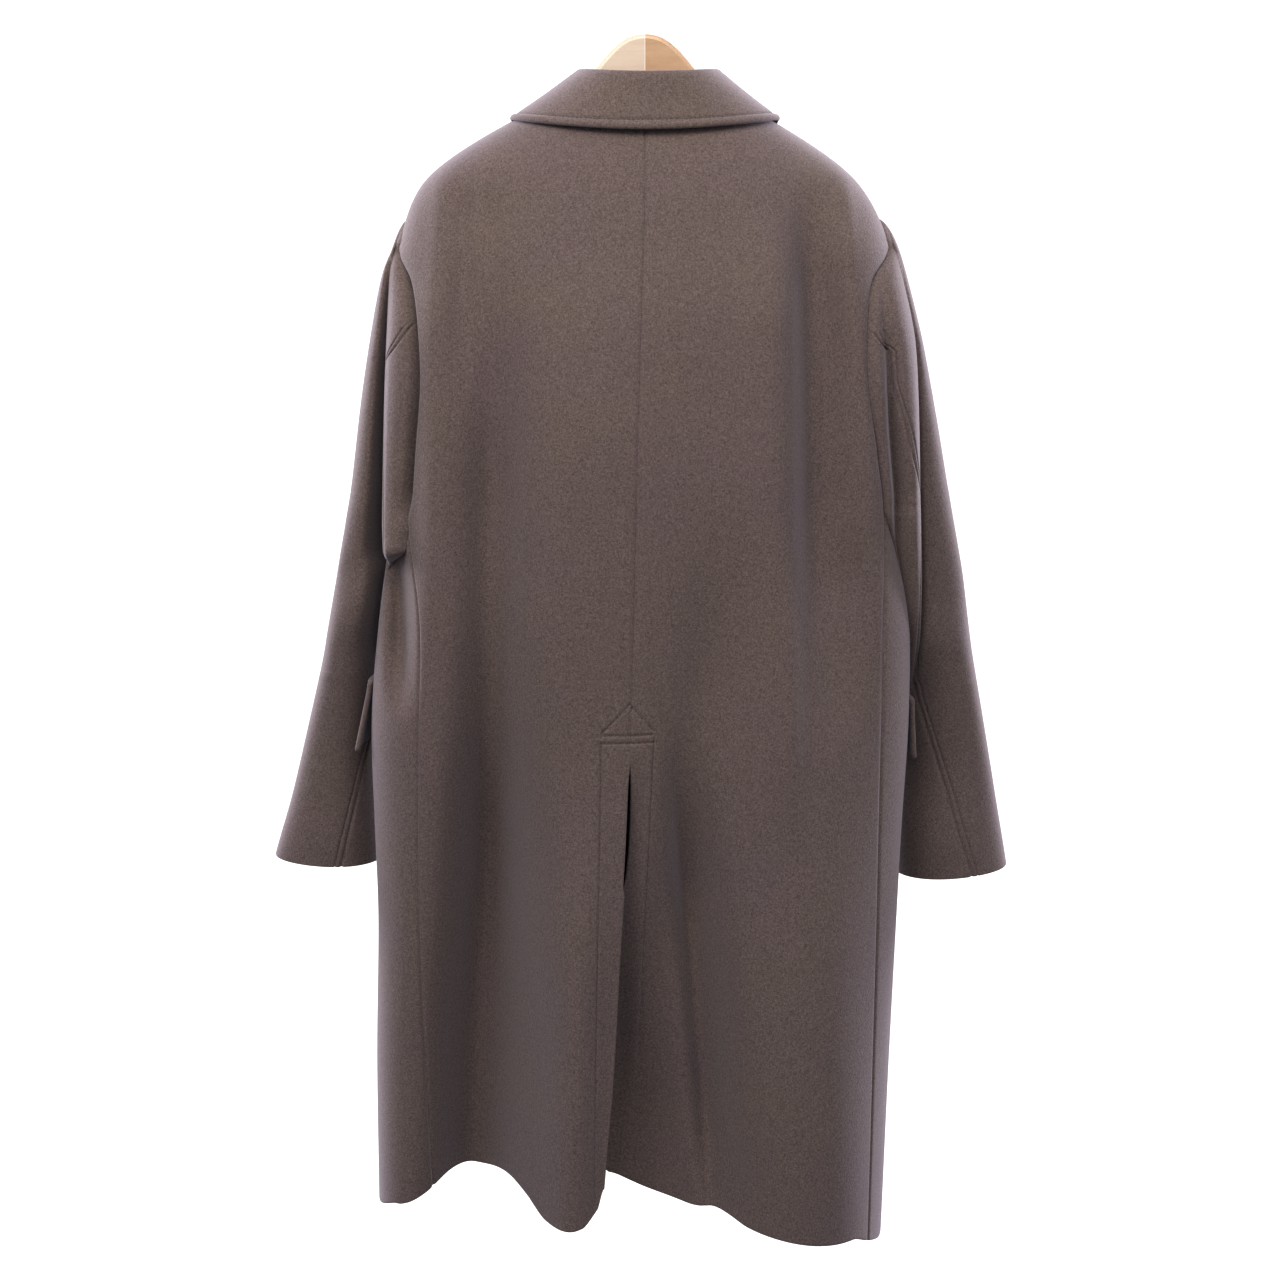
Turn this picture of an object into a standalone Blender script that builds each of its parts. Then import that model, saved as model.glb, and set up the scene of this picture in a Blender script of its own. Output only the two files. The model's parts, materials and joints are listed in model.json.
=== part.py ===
"""Wool chesterfield coat hanging on a two-part wooden hanger.

Units are metres with +Z up. The origin is the top of the hanger's crown. The coat's back
faces -Y, the wearer's left is at -X and the wearer faces +Y. Cloth is a wall carried
through horizontal sections of the body and of each sleeve.
"""
import bpy
import bmesh
import numpy as np

for old in list(bpy.data.objects):
    bpy.data.objects.remove(old, do_unlink=True)

CLOTH = 0.0022
SEAM_CLOTH = 0.0013
SEAM_GAP = 0.0003
LAID_GAP = 0.0004

# Sections of the body from the neck down to the hem. The heights are those at the side,
# at the centre back and at the centre front. Left and right are the half widths, mid is
# the depth of the side line, back and front are the depths from it. The two seam columns
# are the outer edges of the back panels, armhole first and side-back seam below it, and
# the two centre columns are their inner edges. Arm is the front armhole's angle.
SECTION_COLUMNS = ("side_z", "back_z", "front_z", "left", "right", "mid", "back", "front",
                   "square", "seam_left", "seam_right", "centre_left", "centre_right", "arm")
SECTIONS = np.array([
    # neck seam, collar edge, shoulder and armhole top
    (-0.062, -0.076, -0.130, 0.070, 0.072, 0.000, 0.066, 0.062, 0.04, 0.070, 0.072, 0.000, 0.000, 90),
    (-0.084, -0.100, -0.150, 0.127, 0.122, 0.000, 0.080, 0.076, 0.05, 0.127, 0.122, 0.000, 0.000, 90),
    (-0.131, -0.142, -0.190, 0.204, 0.194, -0.002, 0.092, 0.088, 0.06, 0.204, 0.194, 0.000, 0.000, 90),
    (-0.188, -0.192, -0.240, 0.231, 0.229, -0.006, 0.100, 0.098, 0.10, 0.231, 0.229, -0.001, -0.001, 90),
    # down the armhole to the underarm
    (-0.225, -0.226, -0.270, 0.237, 0.235, -0.009, 0.105, 0.103, 0.12, 0.219, 0.213, -0.0025, -0.0025, 105),
    (-0.262, -0.262, -0.300, 0.240, 0.238, -0.012, 0.108, 0.106, 0.14, 0.214, 0.208, -0.0035, -0.0035, 113),
    (-0.320, -0.320, -0.345, 0.242, 0.240, -0.016, 0.108, 0.108, 0.16, 0.213, 0.209, -0.005, -0.005, 118),
    (-0.390, -0.390, -0.405, 0.244, 0.241, -0.021, 0.107, 0.110, 0.16, 0.220, 0.2205, -0.007, -0.007, 114),
    (-0.455, -0.455, -0.462, 0.246, 0.242, -0.025, 0.104, 0.112, 0.16, 0.225, 0.2275, -0.0085, -0.0085, 66),
    # waist, pocket, vent, hip, knee and hem
    (-0.545, -0.545, -0.548, 0.259, 0.258, -0.028, 0.101, 0.112, 0.16, 0.215, 0.2275, -0.0105, -0.0105, 66),
    (-0.650, -0.650, -0.650, 0.270, 0.261, -0.028, 0.100, 0.112, 0.16, 0.2175, 0.228, -0.0135, -0.0135, 66),
    (-0.760, -0.760, -0.760, 0.270, 0.257, -0.028, 0.101, 0.112, 0.15, 0.221, 0.228, -0.018, -0.0145, 66),
    (-0.860, -0.860, -0.860, 0.269, 0.254, -0.028, 0.103, 0.112, 0.14, 0.2215, 0.228, -0.024, -0.025, 66),
    (-1.000, -1.000, -1.000, 0.272, 0.250, -0.026, 0.106, 0.112, 0.12, 0.219, 0.227, -0.0305, -0.042, 66),
    (-1.150, -1.150, -1.150, 0.275, 0.247, -0.022, 0.110, 0.112, 0.12, 0.2155, 0.226, -0.040, -0.058, 66),
])
ARM_TOP, UNDERARM, HEM_ROW = 3.0, 8.0, 14.0

# Largest folds of the body: the face, the side that alone has it (0 for both), where each starts
# and ends across, the heights over which it fades in and out, its depth (a ridge is negative) and
# its half width to each side.
FOLD_COLUMNS = ("face", "only", "x_top", "x_low", "z_from", "z_full", "z_hold", "z_end", "depth", "left", "right")
FOLDS = (
    (+1, 0, -0.140, -0.175, -0.50, -1.00, -2.0, -2.1, 0.088, 0.038, 0.052),
    (+1, 0, -0.060, -0.074, -0.66, -1.05, -2.0, -2.1, -0.026, 0.030, 0.026),
    (+1, 1, 0.006, 0.006, -0.66, -1.10, -2.0, -2.1, 0.058, 0.062, 0.070),
    (+1, 0, 0.150, 0.185, -0.50, -1.08, -2.0, -2.1, -0.040, 0.095, 0.060),
    (+1, 0, 0.143, 0.150, -0.17, -0.30, -0.42, -0.62, 0.014, 0.030, 0.026),
    (+1, 0, -0.145, -0.160, -0.17, -0.36, -0.60, -0.80, 0.014, 0.030, 0.030),
    (-1, 0, -0.150, -0.160, -0.62, -1.08, -2.0, -2.1, 0.030, 0.050, 0.050),
    (-1, 0, -0.070, -0.075, -0.60, -1.08, -2.0, -2.1, -0.012, 0.045, 0.045),
    (-1, 0, 0.130, 0.140, -0.70, -1.08, -2.0, -2.1, 0.026, 0.050, 0.050),
)

# Height of the hem above the lowest section, across the back.
HEM_X = (-0.275, -0.258, -0.246, -0.221, -0.202, -0.171, -0.140, -0.120, -0.100, -0.060, -0.046,
         -0.040, -0.034, 0.004, 0.040, 0.075, 0.100, 0.160, 0.210, 0.228, 0.247)
HEM_RISE = (-0.017, -0.004, 0.000, 0.0105, 0.0185, 0.0165, 0.025, 0.0215, 0.012, 0.0107, 0.0266,
            0.0445, 0.0410, 0.0155, 0.0073, 0.0080, 0.0012, -0.0083, -0.0153, -0.0307, -0.047)
HEM_FRONT = -0.006

# Centre vent: where it opens, how far the right panel dips to pass under the left one.
VENT_TOP = -0.660
UNDERLAP_DIP = 0.0075
# Front closing: how far each front passes the middle and the dip of the one beneath.
OVERLAP = 0.028
OVERLAP_DIP = 0.0050
NECK_X, NECK_Z = 0.0495, -0.096
BREAK_Z = -0.440

# Sections of each sleeve below the armhole: height at the outer and inner side, the outer
# and inner distance from the middle, the back and front depth, how far the inner side
# leans forward round the body, and where the back seam lies round the ring in degrees.
SLEEVE_COLUMNS = ("outer_z", "inner_z", "outer", "inner", "back", "front", "square", "lean", "seam")
SLEEVES = {
    "left": np.array([
        (-0.498, -0.504, 0.296, 0.2600, -0.084, 0.052, 0.18, 0.010, 122),
        (-0.545, -0.548, 0.309, 0.266, -0.058, 0.064, 0.18, 0.022, 136),
        (-0.605, -0.606, 0.326, 0.270, -0.040, 0.070, 0.16, 0.034, 144),
        (-0.670, -0.671, 0.343, 0.279, -0.030, 0.074, 0.14, 0.040, 140),
        (-0.740, -0.740, 0.361, 0.274, -0.022, 0.076, 0.12, 0.034, 126),
        (-0.817, -0.817, 0.383, 0.264, -0.012, 0.074, 0.10, 0.022, 100),
    ]),
    "right": np.array([
        (-0.498, -0.504, 0.303, 0.2590, -0.084, 0.054, 0.18, 0.012, 110),
        (-0.545, -0.550, 0.316, 0.260, -0.060, 0.068, 0.18, 0.024, 120),
        (-0.605, -0.610, 0.333, 0.263, -0.042, 0.072, 0.16, 0.032, 130),
        (-0.670, -0.676, 0.348, 0.266, -0.032, 0.076, 0.14, 0.036, 138),
        (-0.740, -0.747, 0.362, 0.262, -0.022, 0.078, 0.12, 0.030, 115),
        (-0.821, -0.829, 0.378, 0.253, -0.014, 0.078, 0.10, 0.022, 72),
    ]),
}
# Long grooves that part the back of each sleeve into hanging lobes.
GROOVE_COLUMNS = ("side", "angle", "width", "depth", "z_from", "z_full", "z_hold", "z_end")
GROOVES = (
    (-1, 40, 18, 0.016, -0.200, -0.280, -0.380, -0.470),
    (+1, 36, 16, 0.014, -0.200, -0.280, -0.390, -0.480),
    (+1, 80, 14, 0.008, -0.250, -0.330, -0.390, -0.450),
)
SLEEVE_TOP_END = 5.0
CORNER_ANGLE = 135.0
SEAM_ANGLE = 43.0
FRONT_ANGLE = 225.0
GUSSET_SPAN = 24.0

# Rings of the collar from the neck seam up the stand, over the fold and down the fall.
COLLAR_COLUMNS = ("side_z", "back_z", "front_z", "half", "back", "front", "shift", "end")
COLLAR = np.array([
    (-0.0612, -0.0752, -0.1288, 0.0688, 0.0638, 0.0598, 0.0008, 137),
    (-0.0490, -0.0570, -0.1310, 0.0648, 0.0632, 0.0602, 0.0022, 137),
    (-0.0372, -0.0422, -0.1302, 0.0612, 0.0632, 0.0607, 0.0035, 137),
    (-0.0325, -0.0375, -0.1260, 0.0655, 0.0690, 0.0665, 0.0035, 137),
    (-0.0364, -0.0414, -0.1324, 0.0715, 0.0745, 0.0725, 0.0030, 137),
    (-0.0560, -0.0640, -0.1930, 0.0980, 0.0790, 0.0940, 0.0015, 130),
    (-0.0760, -0.0880, -0.2520, 0.1270, 0.0850, 0.1180, 0.0000, 122),
])
COLLAR_WALL = 0.0028
COLLAR_FOLD_WALL = 0.0016

# Lapel: section rows and widths (in degrees round the body) from the gorge to the break.
LAPEL_INNER_ROWS = (0.22, 7.50)
LAPEL_OUTER_ROWS = (1.70, 7.52)
GORGE_BEND = 1.7
LAPEL_WIDTHS = (34.0, 26.0, 18.0, 10.0, 2.5)
LAPEL_LIFT = {"left": 0.0009, "right": 0.0016}
LAPEL_ROLL_LIFT = 0.0020
LAPEL_NECK_LIFT = 0.0020

# Pocket flaps: rear and forward end round the body, section rows, and how far the lower
# edge stands away from the side.
FLAP_COLUMNS = ("side", "rear", "fore", "top_row", "low_row", "stand")
FLAPS = {
    "pocket_flap_left": (-1, 84.0, 124.0, 9.68, 10.30, 0.0110),
    "pocket_flap_right": (+1, 86.0, 126.0, 9.80, 10.42, 0.0070),
}

BUTTONS = (("button_top", -0.452), ("button_middle", -0.572), ("button_bottom", -0.692))
BUTTON_RADIUS = 0.0125
BUTTON_HEIGHT = 0.0042

# Hanger: crown outline by distance from the middle, then arms that follow the shoulders.
CROWN_X = (0.0, 0.008, 0.016, 0.024, 0.032, 0.040, 0.048, 0.055, 0.061, 0.066)
CROWN_DROP = (0.0, 0.0008, 0.0033, 0.0080, 0.0150, 0.0235, 0.0335, 0.0440, 0.0550, 0.0655)
ARM_ROWS = (0.0, 0.6, 1.2, 1.8)
ARM_START_SHARE, ARM_END_SHARE = 0.12, 0.30
ARM_DEPTH = (0.048, 0.042, 0.036, 0.030, 0.027)
ARM_GAP = 0.0008
CROWN_DEPTH = 0.082
ARM_THICK = 0.012
ARM_EDGE = 0.0042
HOLE_RADIUS = 0.0020
HOLE_DEPTH = 0.018

CLOTH_COLOUR = (0.136, 0.102, 0.089, 1.0)
WOOD_PALE = (0.80, 0.62, 0.44, 1.0)
WOOD_TAN = (0.60, 0.37, 0.19, 1.0)
BUTTON_COLOUR = (0.035, 0.024, 0.018, 1.0)


def smoothstep(value):
    value = np.clip(value, 0.0, 1.0)
    return value * value * (3.0 - 2.0 * value)


def through(table, at):
    """Smooth curve through the rows of a table, read at fractional row numbers."""
    last = len(table) - 1
    at = np.clip(np.asarray(at, float), 0.0, last)
    low = np.minimum(np.floor(at).astype(int), last - 1)
    part = (at - low)[..., None]
    slope = np.gradient(table, axis=0)
    one, two = table[low], table[low + 1]
    m_one, m_two = slope[low], slope[low + 1]
    sq, cu = part * part, part * part * part
    return ((2 * cu - 3 * sq + 1) * one + (cu - 2 * sq + part) * m_one
            + (3 * sq - 2 * cu) * two + (cu - sq) * m_two)


def section(row):
    values = through(SECTIONS, row)
    return {name: values[..., i] for i, name in enumerate(SECTION_COLUMNS)}


def fade(z, z_from, z_full, z_hold, z_end):
    return smoothstep((z_from - z) / (z_from - z_full)) * smoothstep((z - z_end) / (z_hold - z_end))


def bump(x, centre, left, right):
    away = x - centre
    return np.exp(-(away / np.where(away < 0, left, right)) ** 2)


def angle_at(share, square):
    """Angle whose ring point lies at this share of the half width."""
    sine = np.clip(share, -1.0, 1.0) / (1.0 + square)
    for _ in range(8):
        sine = sine - ((1 + square) * sine - square * sine ** 3 - share) / (1 + square - 3 * square * sine ** 2)
    return np.arcsin(np.clip(sine, -1.0, 1.0))


def body(row, angle, side):
    """Outer face of the body; the angle runs from the centre back round the given side."""
    s = section(row)
    sine, cosine = np.sin(angle), np.cos(angle)
    own, other = (s["right"], s["left"]) if side > 0 else (s["left"], s["right"])
    half = np.where(sine >= 0, own, other)
    depth = np.where(cosine >= 0, s["back"], s["front"])
    x = side * half * sine * (1 + s["square"] * cosine ** 2)
    y = s["mid"] - depth * cosine * (1 + s["square"] * sine ** 2)
    z = s["side_z"] + (np.where(cosine >= 0, s["back_z"], s["front_z"]) - s["side_z"]) * cosine ** 2
    back_share = smoothstep(cosine / 0.30)
    front_share = smoothstep(-cosine / 0.30)
    for face, only, x_top, x_low, z_from, z_full, z_hold, z_end, deep, left, right in FOLDS:
        if only == -side:
            continue
        line = x_top + (x_low - x_top) * np.clip((z_from - z) / (z_from + 1.15), 0, 1)
        share = back_share if face > 0 else front_share
        y = y + face * deep * share * bump(x, line, left, right) * fade(z, z_from, z_full, z_hold, z_end)
    rise = np.interp(x, HEM_X, HEM_RISE) * smoothstep((cosine + 0.6) / 0.8)
    rise = rise + HEM_FRONT * (1 - smoothstep((cosine + 0.6) / 0.8))
    z = z + rise * smoothstep((row - 11.5) / 2.5)
    return np.stack([x, y, z], -1)


def normals(row, angle, side):
    """Outward unit normals of the body from its own slopes."""
    step_row, step_angle = 0.02, 0.01
    along = body(row + step_row, angle, side) - body(row - step_row, angle, side)
    across = body(row, angle + step_angle, side) - body(row, angle - step_angle, side)
    normal = np.cross(across, along) * -side
    return normal / np.linalg.norm(normal, axis=-1, keepdims=True)


def skin(row, angle, side):
    """Points and normals of the body, sunk where the right panels pass under the left ones."""
    points, normal = body(row, angle, side), normals(row, angle, side)
    if side > 0:
        x, z = points[..., 0], points[..., 2]
        vent = smoothstep((section(row)["centre_left"] + 0.022 - x) / 0.020) * smoothstep((VENT_TOP - z) / 0.08)
        front = smoothstep((0.062 - x) / 0.030)
        sunk = np.where(np.cos(angle) > 0, UNDERLAP_DIP * vent, OVERLAP_DIP * front)
        points = points - sunk[..., None] * normal
    return points, normal


def grid_normals(points, wrap):
    """Unit normals of a grid from its neighbours; columns may run round a tube."""
    if wrap:
        ahead = np.roll(points, -1, 1) - points
        ahead = ahead / np.linalg.norm(ahead, axis=-1, keepdims=True)
        across = ahead + np.roll(ahead, 1, 1)
    else:
        across = np.gradient(points, axis=1)
    normal = np.cross(across, np.gradient(points, axis=0))
    return normal / np.linalg.norm(normal, axis=-1, keepdims=True)


def material(name, colour, roughness):
    made = bpy.data.materials.new(name)
    made.use_nodes = True
    shader = made.node_tree.nodes["Principled BSDF"]
    shader.inputs["Base Color"].default_value = colour
    shader.inputs["Roughness"].default_value = roughness
    return made


def wall(name, outer, inner, colour=CLOTH_COLOUR, roughness=0.9):
    """Closed wall between two matching grids of points."""
    rows, cols = outer.shape[:2]
    points = np.concatenate([outer.reshape(-1, 3), inner.reshape(-1, 3)])
    number = np.arange(rows * cols).reshape(rows, cols)
    under = number + rows * cols
    quads = np.stack([number[:-1, :-1], number[:-1, 1:], number[1:, 1:], number[1:, :-1]], -1).reshape(-1, 4)
    lower = np.stack([under[:-1, :-1], under[1:, :-1], under[1:, 1:], under[:-1, 1:]], -1).reshape(-1, 4)
    borders = [(number[0], under[0]), (number[-1], under[-1]), (number[:, 0], under[:, 0]), (number[:, -1], under[:, -1])]
    sides = [np.concatenate([np.stack([a[:-1], a[1:], b[1:]], -1), np.stack([a[:-1], b[1:], b[:-1]], -1)])
             for a, b in borders]
    mesh = bpy.data.meshes.new(name)
    mesh.from_pydata(points.tolist(), [], quads.tolist() + lower.tolist() + np.concatenate(sides).tolist())
    mesh.validate()
    bm = bmesh.new()
    bm.from_mesh(mesh)
    bmesh.ops.recalc_face_normals(bm, faces=bm.faces)
    bm.to_mesh(mesh)
    bm.free()
    made = bpy.data.objects.new(name, mesh)
    bpy.context.scene.collection.objects.link(made)
    mesh.materials.append(material(name, colour, roughness))
    return made


# Rows shared by the panels: the shoulder, the armhole and the skirt of the coat.
SHOULDER_ROWS = np.array([0.0, 0.6, 1.2, 1.8, 2.4])
ARMHOLE_ROWS = np.array([3.0, 3.3, 3.7, 4.3, 5.0, 5.7, 6.4, 7.0, 7.4, 7.7, 7.88, 8.0])
SKIRT_ROWS = np.array([8.6, 9.3, 10.0, 10.7, 11.4, 12.1, 12.8, 13.4, 14.0])
ROWS = np.concatenate([SHOULDER_ROWS, ARMHOLE_ROWS, SKIRT_ROWS])


def outer_angle(rows, side):
    """Angle of the back panel's outer edge: shoulder seam, armhole, side-back seam."""
    s = section(rows)
    name = "right" if side > 0 else "left"
    share = np.where(rows <= ARM_TOP, 1.0, s["seam_" + name] / s[name])
    return np.where(rows <= ARM_TOP, np.pi / 2, angle_at(share, s["square"]))


def front_outer_angle(rows, side):
    """Angle of the front panel's outer edge: shoulder seam, front armhole, side-back seam."""
    seam = outer_angle(rows, side)
    arm = np.radians(section(rows)["arm"])
    low = np.radians(section(np.array(7.0))["arm"])
    corner = outer_angle(np.array(UNDERARM), side)
    under = corner + (low - corner) * np.clip(UNDERARM - rows, 0, 1) ** 0.6
    arm = np.where(rows > 7.0, under, arm)
    arm = np.where(rows <= ARM_TOP, np.pi / 2, arm)
    return np.where(rows >= UNDERARM, seam, arm)


def front_inner_angle(rows, side):
    """Angle of the front's inner edge: the roll line of the lapel, then the closing edge."""
    s = section(rows)
    z = s["front_z"]
    share = np.clip((NECK_Z - z) / (NECK_Z - BREAK_Z), 0, 1)
    own = NECK_X - (NECK_X + OVERLAP) * share
    return np.pi - angle_at(own / s["right" if side > 0 else "left"], s["square"])


def lapel_inner_angle(rows, side):
    """Angle of the lapel's inner edge; the right lapel stops at the left front's edge."""
    s = section(rows)
    share = np.clip((NECK_Z - s["front_z"]) / (NECK_Z - BREAK_Z), 0, 1)
    own = NECK_X - (NECK_X + OVERLAP) * share + 0.001
    if side > 0:
        own = np.maximum(own, 0.0025 - own)
    return np.pi - angle_at(own / s["right" if side > 0 else "left"], s["square"])


def nudge(angle, rows, side, distance):
    """Move an edge round the body by a small distance."""
    step = 0.004
    apart = np.linalg.norm(body(rows, angle + step, side) - body(rows, angle - step, side), axis=-1)
    return angle + distance * 2 * step / apart


def panel(name, side, start, end, columns, crowd=1.0):
    """One panel of the body between two edges, its columns crowded towards the first edge."""
    share = np.linspace(0.0, 1.0, columns + 1) ** crowd
    angle = start[:, None] + (end - start)[:, None] * share
    rows = np.broadcast_to(ROWS[:, None], angle.shape)
    points, normal = skin(rows, angle, side)
    wall(name, points, points - CLOTH * normal)


half_gap = SEAM_GAP / 2
centre = section(ROWS)
for side, name in ((-1, "left"), (+1, "right")):
    own, other = (centre["right"], centre["left"]) if side > 0 else (centre["left"], centre["right"])
    inset = side * centre["centre_" + name]
    start = angle_at(inset / np.where(inset >= 0, own, other), centre["square"])
    edge = outer_angle(ROWS, side)
    panel("back_" + name, side, nudge(start, ROWS, side, half_gap), nudge(edge, ROWS, side, -half_gap), 13,
          1.5)
    panel("front_" + name, side, nudge(front_outer_angle(ROWS, side), ROWS, side, half_gap),
          front_inner_angle(ROWS, side), 11)

# Sleeves: the head starts on the armhole's own points and swings down into the tube.
HEAD_STEPS = 6
TUBE_ROWS = np.array([0.5, 1.0, 1.6, 2.3, 3.0, 4.0, 5.0])


def sleeve_ring(table, row, angle):
    """One ring of a sleeve; the seams turn round it as its own column says."""
    values = through(table, row)
    c = {key: values[..., i] for i, key in enumerate(SLEEVE_COLUMNS)}
    seam = np.radians(c["seam"])
    gusset = seam + np.radians(GUSSET_SPAN)
    top = (seam - np.radians(SEAM_ANGLE)) * 0.45
    knot, corner, low, full = np.radians([SEAM_ANGLE, CORNER_ANGLE, FRONT_ANGLE, 360.0])
    angle = np.select(
        [angle <= knot, angle <= corner, angle <= low],
        [top + (seam - top) * angle / knot,
         seam + (gusset - seam) * (angle - knot) / (corner - knot),
         gusset + (low - gusset) * (angle - corner) / (low - corner)],
        low + (full + top - low) * (angle - low) / (full - low))
    half = (c["outer"] - c["inner"]) / 2
    deep = (c["front"] - c["back"]) / 2
    x = (c["outer"] + c["inner"]) / 2 + half * np.cos(angle) * (1 + c["square"] * np.sin(angle) ** 2)
    y = (c["front"] + c["back"]) / 2 - deep * np.sin(angle) * (1 + c["square"] * np.cos(angle) ** 2)
    inward = (1 - np.cos(angle)) / 2
    y = y + c["lean"] * inward ** 2
    z = c["outer_z"] + (c["inner_z"] - c["outer_z"]) * inward
    return np.stack([x, y, z], -1)


def sleeve(name, side):
    table = SLEEVES[name]
    back_edge = body(ARMHOLE_ROWS, outer_angle(ARMHOLE_ROWS, side), side)
    front_edge = body(ARMHOLE_ROWS, front_outer_angle(ARMHOLE_ROWS, side), side)
    loop = np.concatenate([back_edge, front_edge[-2:0:-1]])
    span = np.linalg.norm(np.roll(loop, -1, 0) - loop, axis=1)
    run = np.concatenate([[0], np.cumsum(span)])
    corner = len(back_edge) - 1
    first = run[:corner + 1] / run[corner] * CORNER_ANGLE
    second = CORNER_ANGLE + (run[corner + 1:-1] - run[corner]) / (run[-1] - run[corner]) * (360 - CORNER_ANGLE)
    angle = np.radians(np.concatenate([first, second]))
    own = loop * (side, 1, 1)
    corner_angle = np.radians(CORNER_ANGLE)
    swing = np.where(angle <= corner_angle, angle * np.pi / corner_angle,
                     np.pi + (angle - corner_angle) * np.pi / (2 * np.pi - corner_angle))
    below = (1 - np.cos(swing)) / 2
    lead = np.stack([0.46 + 0.34 * below, -0.40 * np.sin(swing), -0.86 + 0.16 * below], -1)
    lead = lead / np.linalg.norm(lead, axis=1, keepdims=True)
    low = sleeve_ring(table, np.zeros(len(angle)), angle)
    ahead = sleeve_ring(table, np.full(len(angle), 0.3), angle) - low
    ahead = ahead / np.linalg.norm(ahead, axis=1, keepdims=True)
    reach = (np.linalg.norm(low - own, axis=1) * (0.70 + 0.30 * below))[:, None]
    begin = own + 1.6 * SEAM_GAP * lead
    share = np.linspace(0, 1, HEAD_STEPS + 1)[:, None, None]
    head = ((2 * share ** 3 - 3 * share ** 2 + 1) * begin + (share ** 3 - 2 * share ** 2 + share) * lead * reach
            + (3 * share ** 2 - 2 * share ** 3) * low + (share ** 3 - share ** 2) * ahead * reach)
    tube = sleeve_ring(table, TUBE_ROWS[:, None], angle[None, :])
    points = np.concatenate([head, tube])
    ease = smoothstep(np.arange(len(points)) / 3.0)[:, None]
    for groove_side, at, width, depth, z_from, z_full, z_hold, z_end in GROOVES:
        if groove_side == side:
            amount = np.exp(-((np.degrees(angle) - at) / width) ** 2) * ease
            points[..., 1] += depth * amount * fade(points[..., 2], z_from, z_full, z_hold, z_end)
    points = points * (side, 1, 1)
    normal = grid_normals(points, True) * side
    thick = SEAM_CLOTH + (CLOTH - SEAM_CLOTH) * smoothstep(np.arange(len(points)) / 2.0)
    inside = points - thick[:, None, None] * normal
    back_seam = int(np.argmin(np.abs(ARMHOLE_ROWS - SLEEVE_TOP_END)))
    front_seam = len(loop) - int(np.argmin(np.abs(ARMHOLE_ROWS - 7.0)))

    def piece(label, columns):
        cut, cut_in = points[:, columns].copy(), inside[:, columns].copy()
        for grid in (cut, cut_in):
            ends = ((0, 1), (-1, -2))
            for end, inner in ends:
                towards = grid[:, inner] - grid[:, end]
                grid[:, end] += towards / np.linalg.norm(towards, axis=1, keepdims=True) * half_gap
        wall("sleeve_%s_%s" % (name, label), cut, cut_in)

    count = len(loop)
    piece("top", np.arange(front_seam, count + back_seam + 1) % count)
    piece("under", np.arange(back_seam, front_seam + 1))


sleeve("left", -1)
sleeve("right", +1)

# Collar: rings of the stand and fall, carried round the neck to the gorge on each side.
ring_rows = np.array([0.0, 1.0, 1.8, 2.4, 3.0, 3.6, 4.2, 5.0, 6.0])
values = through(COLLAR, ring_rows)[:, None, :]
c = {key: values[..., i] for i, key in enumerate(COLLAR_COLUMNS)}
turn = np.radians(c["end"]) * np.linspace(-1, 1, 21)
cosine, sine = np.cos(turn), np.sin(turn)
collar = np.stack([
    c["shift"] + c["half"] * sine,
    -np.where(cosine >= 0, c["back"], c["front"]) * cosine,
    c["side_z"] + (np.where(cosine >= 0, c["back_z"], c["front_z"]) - c["side_z"]) * cosine ** 2,
], -1)
facing = -grid_normals(collar, False)
thick = COLLAR_WALL - (COLLAR_WALL - COLLAR_FOLD_WALL) * np.exp(-((ring_rows - 3.0) / 0.8) ** 2)
wall("collar", collar, collar - thick[:, None, None] * facing)

# Lapels: part of each front turned back along the roll line, laid on the front.
for side, name in ((-1, "left"), (+1, "right")):
    down = np.linspace(0, 1, 9)[:, None]
    out = np.linspace(0, 1, 5)[None, :]
    inner_row = LAPEL_INNER_ROWS[0] + (LAPEL_INNER_ROWS[1] - LAPEL_INNER_ROWS[0]) * down
    outer_row = LAPEL_OUTER_ROWS[0] + (LAPEL_OUTER_ROWS[1] - LAPEL_OUTER_ROWS[0]) * down
    rows = inner_row + (outer_row - inner_row) * out ** GORGE_BEND
    width = np.radians(through(np.array(LAPEL_WIDTHS)[:, None], down[:, 0] * 4)[:, 0])[:, None]
    angle = lapel_inner_angle(rows, side) - width * out
    base, normal = skin(rows, angle, side)
    lift = LAPEL_LIFT[name] + LAPEL_ROLL_LIFT * np.sin(np.pi * out) ** 2
    lift = (lift + LAPEL_NECK_LIFT * (1 - down) ** 3)[..., None]
    wall("lapel_" + name, base + (lift + CLOTH) * normal, base + lift * normal)

# Pocket flaps: taken from the side of the front and moved out, more at the lower edge.
for name, (side, rear, fore, top_row, low_row, stand) in FLAPS.items():
    rows = np.linspace(top_row, low_row, 4)[:, None]
    angle = np.radians(np.linspace(rear, fore, 9))[None, :]
    rows, angle = np.broadcast_arrays(rows, angle)
    base, normal = skin(rows, angle, side)
    lift = (LAID_GAP + stand * ((rows - top_row) / (low_row - top_row)) ** 1.4)[..., None]
    wall(name, base + (lift + CLOTH) * normal, base + lift * normal)

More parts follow.
